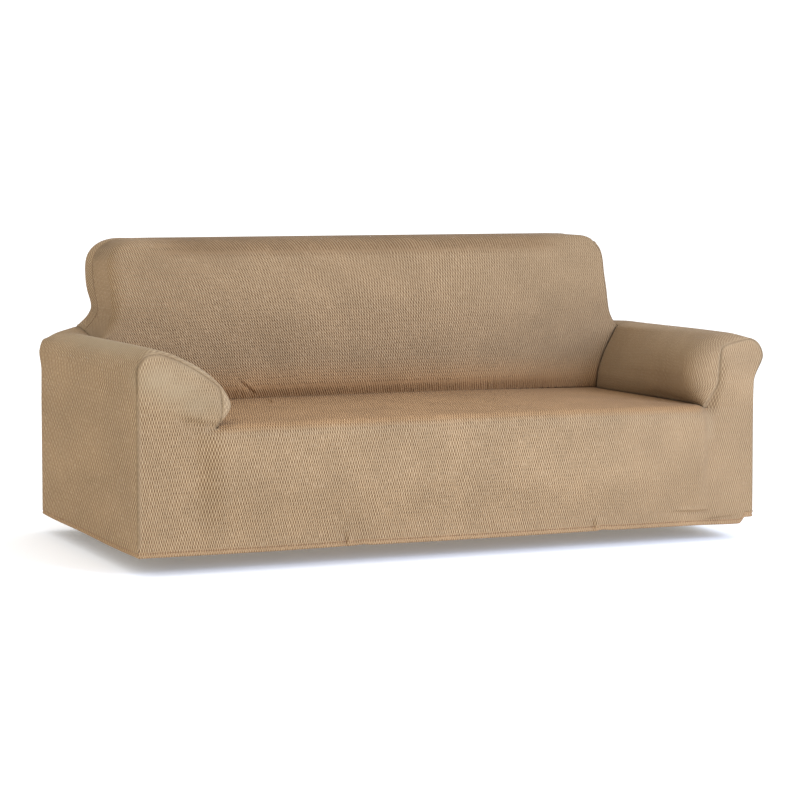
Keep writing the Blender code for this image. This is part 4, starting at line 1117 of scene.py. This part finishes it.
def stretch_knit():
    """Stretch knit: raised loops in staggered rows, paler on top than in the gaps, under a short dull
    fuzz. The eye gets a dry grain of pale ovals, drawn smooth where the cloth is pulled."""
    material, shader, add = new_material("stretch_knit", {
        "Roughness": 0.92, "Specular IOR Level": 0.06, "Sheen Weight": 0.06, "Sheen Roughness": 0.45,
        "Sheen Tint": colour("E8DCC8")})
    flat = add("UVMap", uv_map="cloth")[0]
    smooth, ribbed_and_shaded, hem, pale_and_lit, warm_shade = (add("Attribute", attribute_name=name)["Fac"] for name in (
        "smooth", "ribbed_and_shaded", "hem", "pale_and_lit", "warm_shade"))
    patchy, yarn, light = (
        add("TexNoise", flat, Scale=1 / size, Detail=detail, Roughness=rough, noise_dimensions="2D")[0]
        for size, detail, rough in ((LOOP_PATCH, 2.0, 0.5), (STRAND, 3.0, 0.6), (LIGHT_PATCH, 3.0, 0.5)))

    # Loops in staggered rows, whose lines wander a little.
    shift = add("TexNoise", flat, Scale=1 / WANDER_LONG, noise_dimensions="2D")["Color"]
    place = add("VectorMath", shift, (WANDER,) * 3, flat, operation="MULTIPLY_ADD")[0]
    place = add("VectorMath", place, (WANDER / 2,) * 3, operation="SUBTRACT")[0]
    x, y = add("SeparateXYZ", place)[:2]
    across, rows = (
        add("Math", add("Math", way, turn, operation="MULTIPLY")[0], operation="COSINE")[0]
        for way, turn in ((x, 2 * math.pi / LOOP), (y, math.pi / ROW)))
    # Ribs: the rows give way to upright lines.
    rows = add("Mix", ribbed_and_shaded, rows, 1.0)[0]
    loops = add("Math", across, rows, operation="MULTIPLY")[0]

    # Some loops stand higher than others, in patches, and lower where the cloth is drawn smooth.
    tall = add("Math", patchy, *LOOP_VARIES, operation="MULTIPLY_ADD")[0]
    drawn = add("Math", smooth, -FLATTENED, 1.0, operation="MULTIPLY_ADD")[0]
    tall = add("Math", tall, drawn, operation="MULTIPLY")[0]
    loops = add("Math", loops, tall, operation="MULTIPLY")[0]
    loops = add("Math", loops, 0.5, 0.5, operation="MULTIPLY_ADD")[0]
    # The pale tops are narrower than the gaps between them.
    loops = add("Math", loops, TOPS_POWER, operation="POWER")[0]
    # Slubs: thicker lengths of yarn, a few loops long, which stand out pale.
    slubs = add("VectorMath", flat, (1 / SLUB_WIDE, 1 / SLUB_LONG, 1.0), operation="MULTIPLY")[0]
    slubs = add("TexNoise", slubs, Scale=1.0, Detail=1.0, noise_dimensions="2D")[0]
    slubs = add("MapRange", slubs, *SLUB_RANGE, interpolation_type="SMOOTHSTEP")[0]
    slubs = add("Math", slubs, drawn, operation="MULTIPLY")[0]

    # Colours over the loops: pale slubs; cloth pulled pale and dull, with a painted highlight where the arm
    # tops and the tongue face the light; painted shade on the ribs at the back's top and foot; and the hem,
    # turned up twice. Then a painted warm shade on the up-facing seat and at the back's foot.
    base = add("Mix", loops, colour("6D4F35"), colour("CAAC80"), data_type="RGBA")[2]
    for where, share, code in ((slubs, 0.16, "D0B38D"), (pale_and_lit, 1.0, "C9B792"), (ribbed_and_shaded, 0.42, "866441"),
                               (hem, 0.30, "A98159")):
        part = add("Math", where, share, operation="MULTIPLY")[0]
        base = add("Mix", part, base, colour(code), data_type="RGBA")[2]
    # Painted warm shade on the up-facing seat and at the back's foot.
    warm = add("VectorMath", base, WARM_SHADE_TINT, operation="MULTIPLY")[0]
    base = add("Mix", warm_shade, base, warm, data_type="RGBA")[2]
    # Lighter and darker: in patches, by strands, a little darker where it is smooth, and darker where
    # ribbed, a painted shade at the back's top edge and foot.
    for where, share, rest in ((light, 0.30, 0.85), (yarn, 0.36, 0.82), (smooth, -0.18, 1.0),
                               (ribbed_and_shaded, -0.12, 1.0)):
        part = add("Math", where, share, rest, operation="MULTIPLY_ADD")[0]
        base = add("VectorMath", base, Scale=part, operation="SCALE")[0]

    height = add("Math", slubs, SLUB_HEIGHT, loops, operation="MULTIPLY_ADD")[0]
    height = add("Math", yarn, STRAND_HEIGHT, height, operation="MULTIPLY_ADD")[0]
    relief = add("Bump", Height=height, Distance=KNIT_RELIEF, Strength=1.0)[0]
    feed(shader, {"Base Color": base, "Normal": relief})
    return material


def sewing_thread():
    """Sewing thread: twisted, a little redder and shinier than the knit, so the eye picks out the line."""
    material, shader, add = new_material("sewing_thread", {"Roughness": 0.6})
    place = add("TexCoord")["Object"]
    twist = add("TexWave", place, Scale=TWIST_SCALE, Distortion=1.5, bands_direction="DIAGONAL")["Fac"]
    base = add("Mix", twist, colour("6E4B30"), colour("94704C"), data_type="RGBA")[2]
    relief = add("Bump", Height=twist, Distance=THREAD_RELIEF, Strength=0.4)[0]
    feed(shader, {"Base Color": base, "Normal": relief})
    return material


def studio_floor():
    """Matt white studio floor, faintly uneven, that goes grey only in the cover's own shadow."""
    material, shader, add = new_material("studio_floor", {
        "Roughness": 1.0, "Specular IOR Level": 0.0, "Emission Color": colour("FFFCF4"),
        "Emission Strength": FLOOR_GLOW})
    mottle = add("TexNoise", add("TexCoord")["Object"], Scale=1 / MOTTLE)[0]
    base = add("Mix", mottle, colour("F6F3EC"), colour("FAF7F1"), data_type="RGBA")[2]
    feed(shader, {"Base Color": base})
    return material


# ---- Stage ----

# Soft key light from the front right, and the room's even light.
KEY_AT = (1.70, -4.40, 0.95)
KEY_AIM = (-0.1, 0.0, -0.35)
KEY_SIZE = 2.0
KEY_POWER = 236
KEY_COLOUR = "C0D4FF"
ROOM_COLOUR = "F0F5FF"
ROOM_STRENGTH = 1.28
FLOOR_GLOW = 0.215
# The floor's size, and how far the camera sees.
FAR = 60


def add_object(name, data):
    """Puts a new object in the scene."""
    made = bpy.data.objects.new(name, data)
    bpy.context.scene.collection.objects.link(made)
    return made


def stand_camera():
    """A long lens low in front of the cover, to its left, as in the reference view."""
    turn, fall, roll = map(math.radians, (CAMERA_TURN, CAMERA_FALL, CAMERA_ROLL))
    data = bpy.data.cameras.new("camera")
    data.lens = LENS_MM
    data.sensor_width = SENSOR_MM
    data.clip_end = FAR
    camera = add_object("camera", data)
    camera.matrix_world = (Matrix.Translation(CAMERA_AT) @ Matrix.Rotation(-turn, 4, "Z")
                           @ Matrix.Rotation(math.pi / 2 - fall, 4, "X") @ Matrix.Rotation(roll, 4, "Z"))
    bpy.context.scene.camera = camera


def light_the_studio():
    """One large soft light and a white room."""
    scene = bpy.context.scene
    scene.view_settings.view_transform = "Standard"
    data = bpy.data.lights.new("key", "AREA")
    data.size = KEY_SIZE
    data.energy = KEY_POWER
    data.color = colour(KEY_COLOUR)[:3]
    key = add_object("key", data)
    key.visible_camera = False
    at = Vector(KEY_AT)
    way = (Vector(KEY_AIM) - at).to_track_quat("-Z", "Y")
    key.matrix_world = Matrix.Translation(at) @ way.to_matrix().to_4x4()
    world = bpy.data.worlds.new("room")
    world.use_nodes = True
    sky = world.node_tree.nodes["Background"]
    sky.inputs["Color"].default_value = colour(ROOM_COLOUR)
    sky.inputs["Strength"].default_value = ROOM_STRENGTH
    scene.world = world


def lay_floor():
    """A plain pale floor."""
    bpy.ops.mesh.primitive_plane_add(size=FAR, location=(0, 0, FLOOR_Z))
    floor = bpy.context.object
    floor.name = "floor"
    floor.data.materials.append(studio_floor())


stand_camera()
light_the_studio()
lay_floor()
CLOTHS = (
    ("seat_front", make_seat_front(), (2.0, 1.3), 1.9),
    ("arm_left", make_arm(-1, "arm_left_cloth"), (1.05, 1.05), 0.83),
    ("arm_right", make_arm(1, "arm_right_cloth"), (1.05, 1.05), 0.82),
    ("back_inner", make_back_inner(), (1.85, 0.85), 1.12),
    ("back_outer", make_back_outer(), (1.95, 1.2), 1.75),
)
work_the_cloth([cloth for target, cloth, flat, area in CLOTHS])
knit = stretch_knit()
stitches = make_stitches()
stitches.data.materials.append(sewing_thread())
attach(stitches, "root")
for target, cloth, flat, area in CLOTHS:
    piece = cloth.obj
    piece.data.materials.append(knit)
    thicken = piece.modifiers.new("cloth", "SOLIDIFY")
    thicken.thickness = CLOTH
    thicken.offset = -1
    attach(piece, "root")
    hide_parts(target)
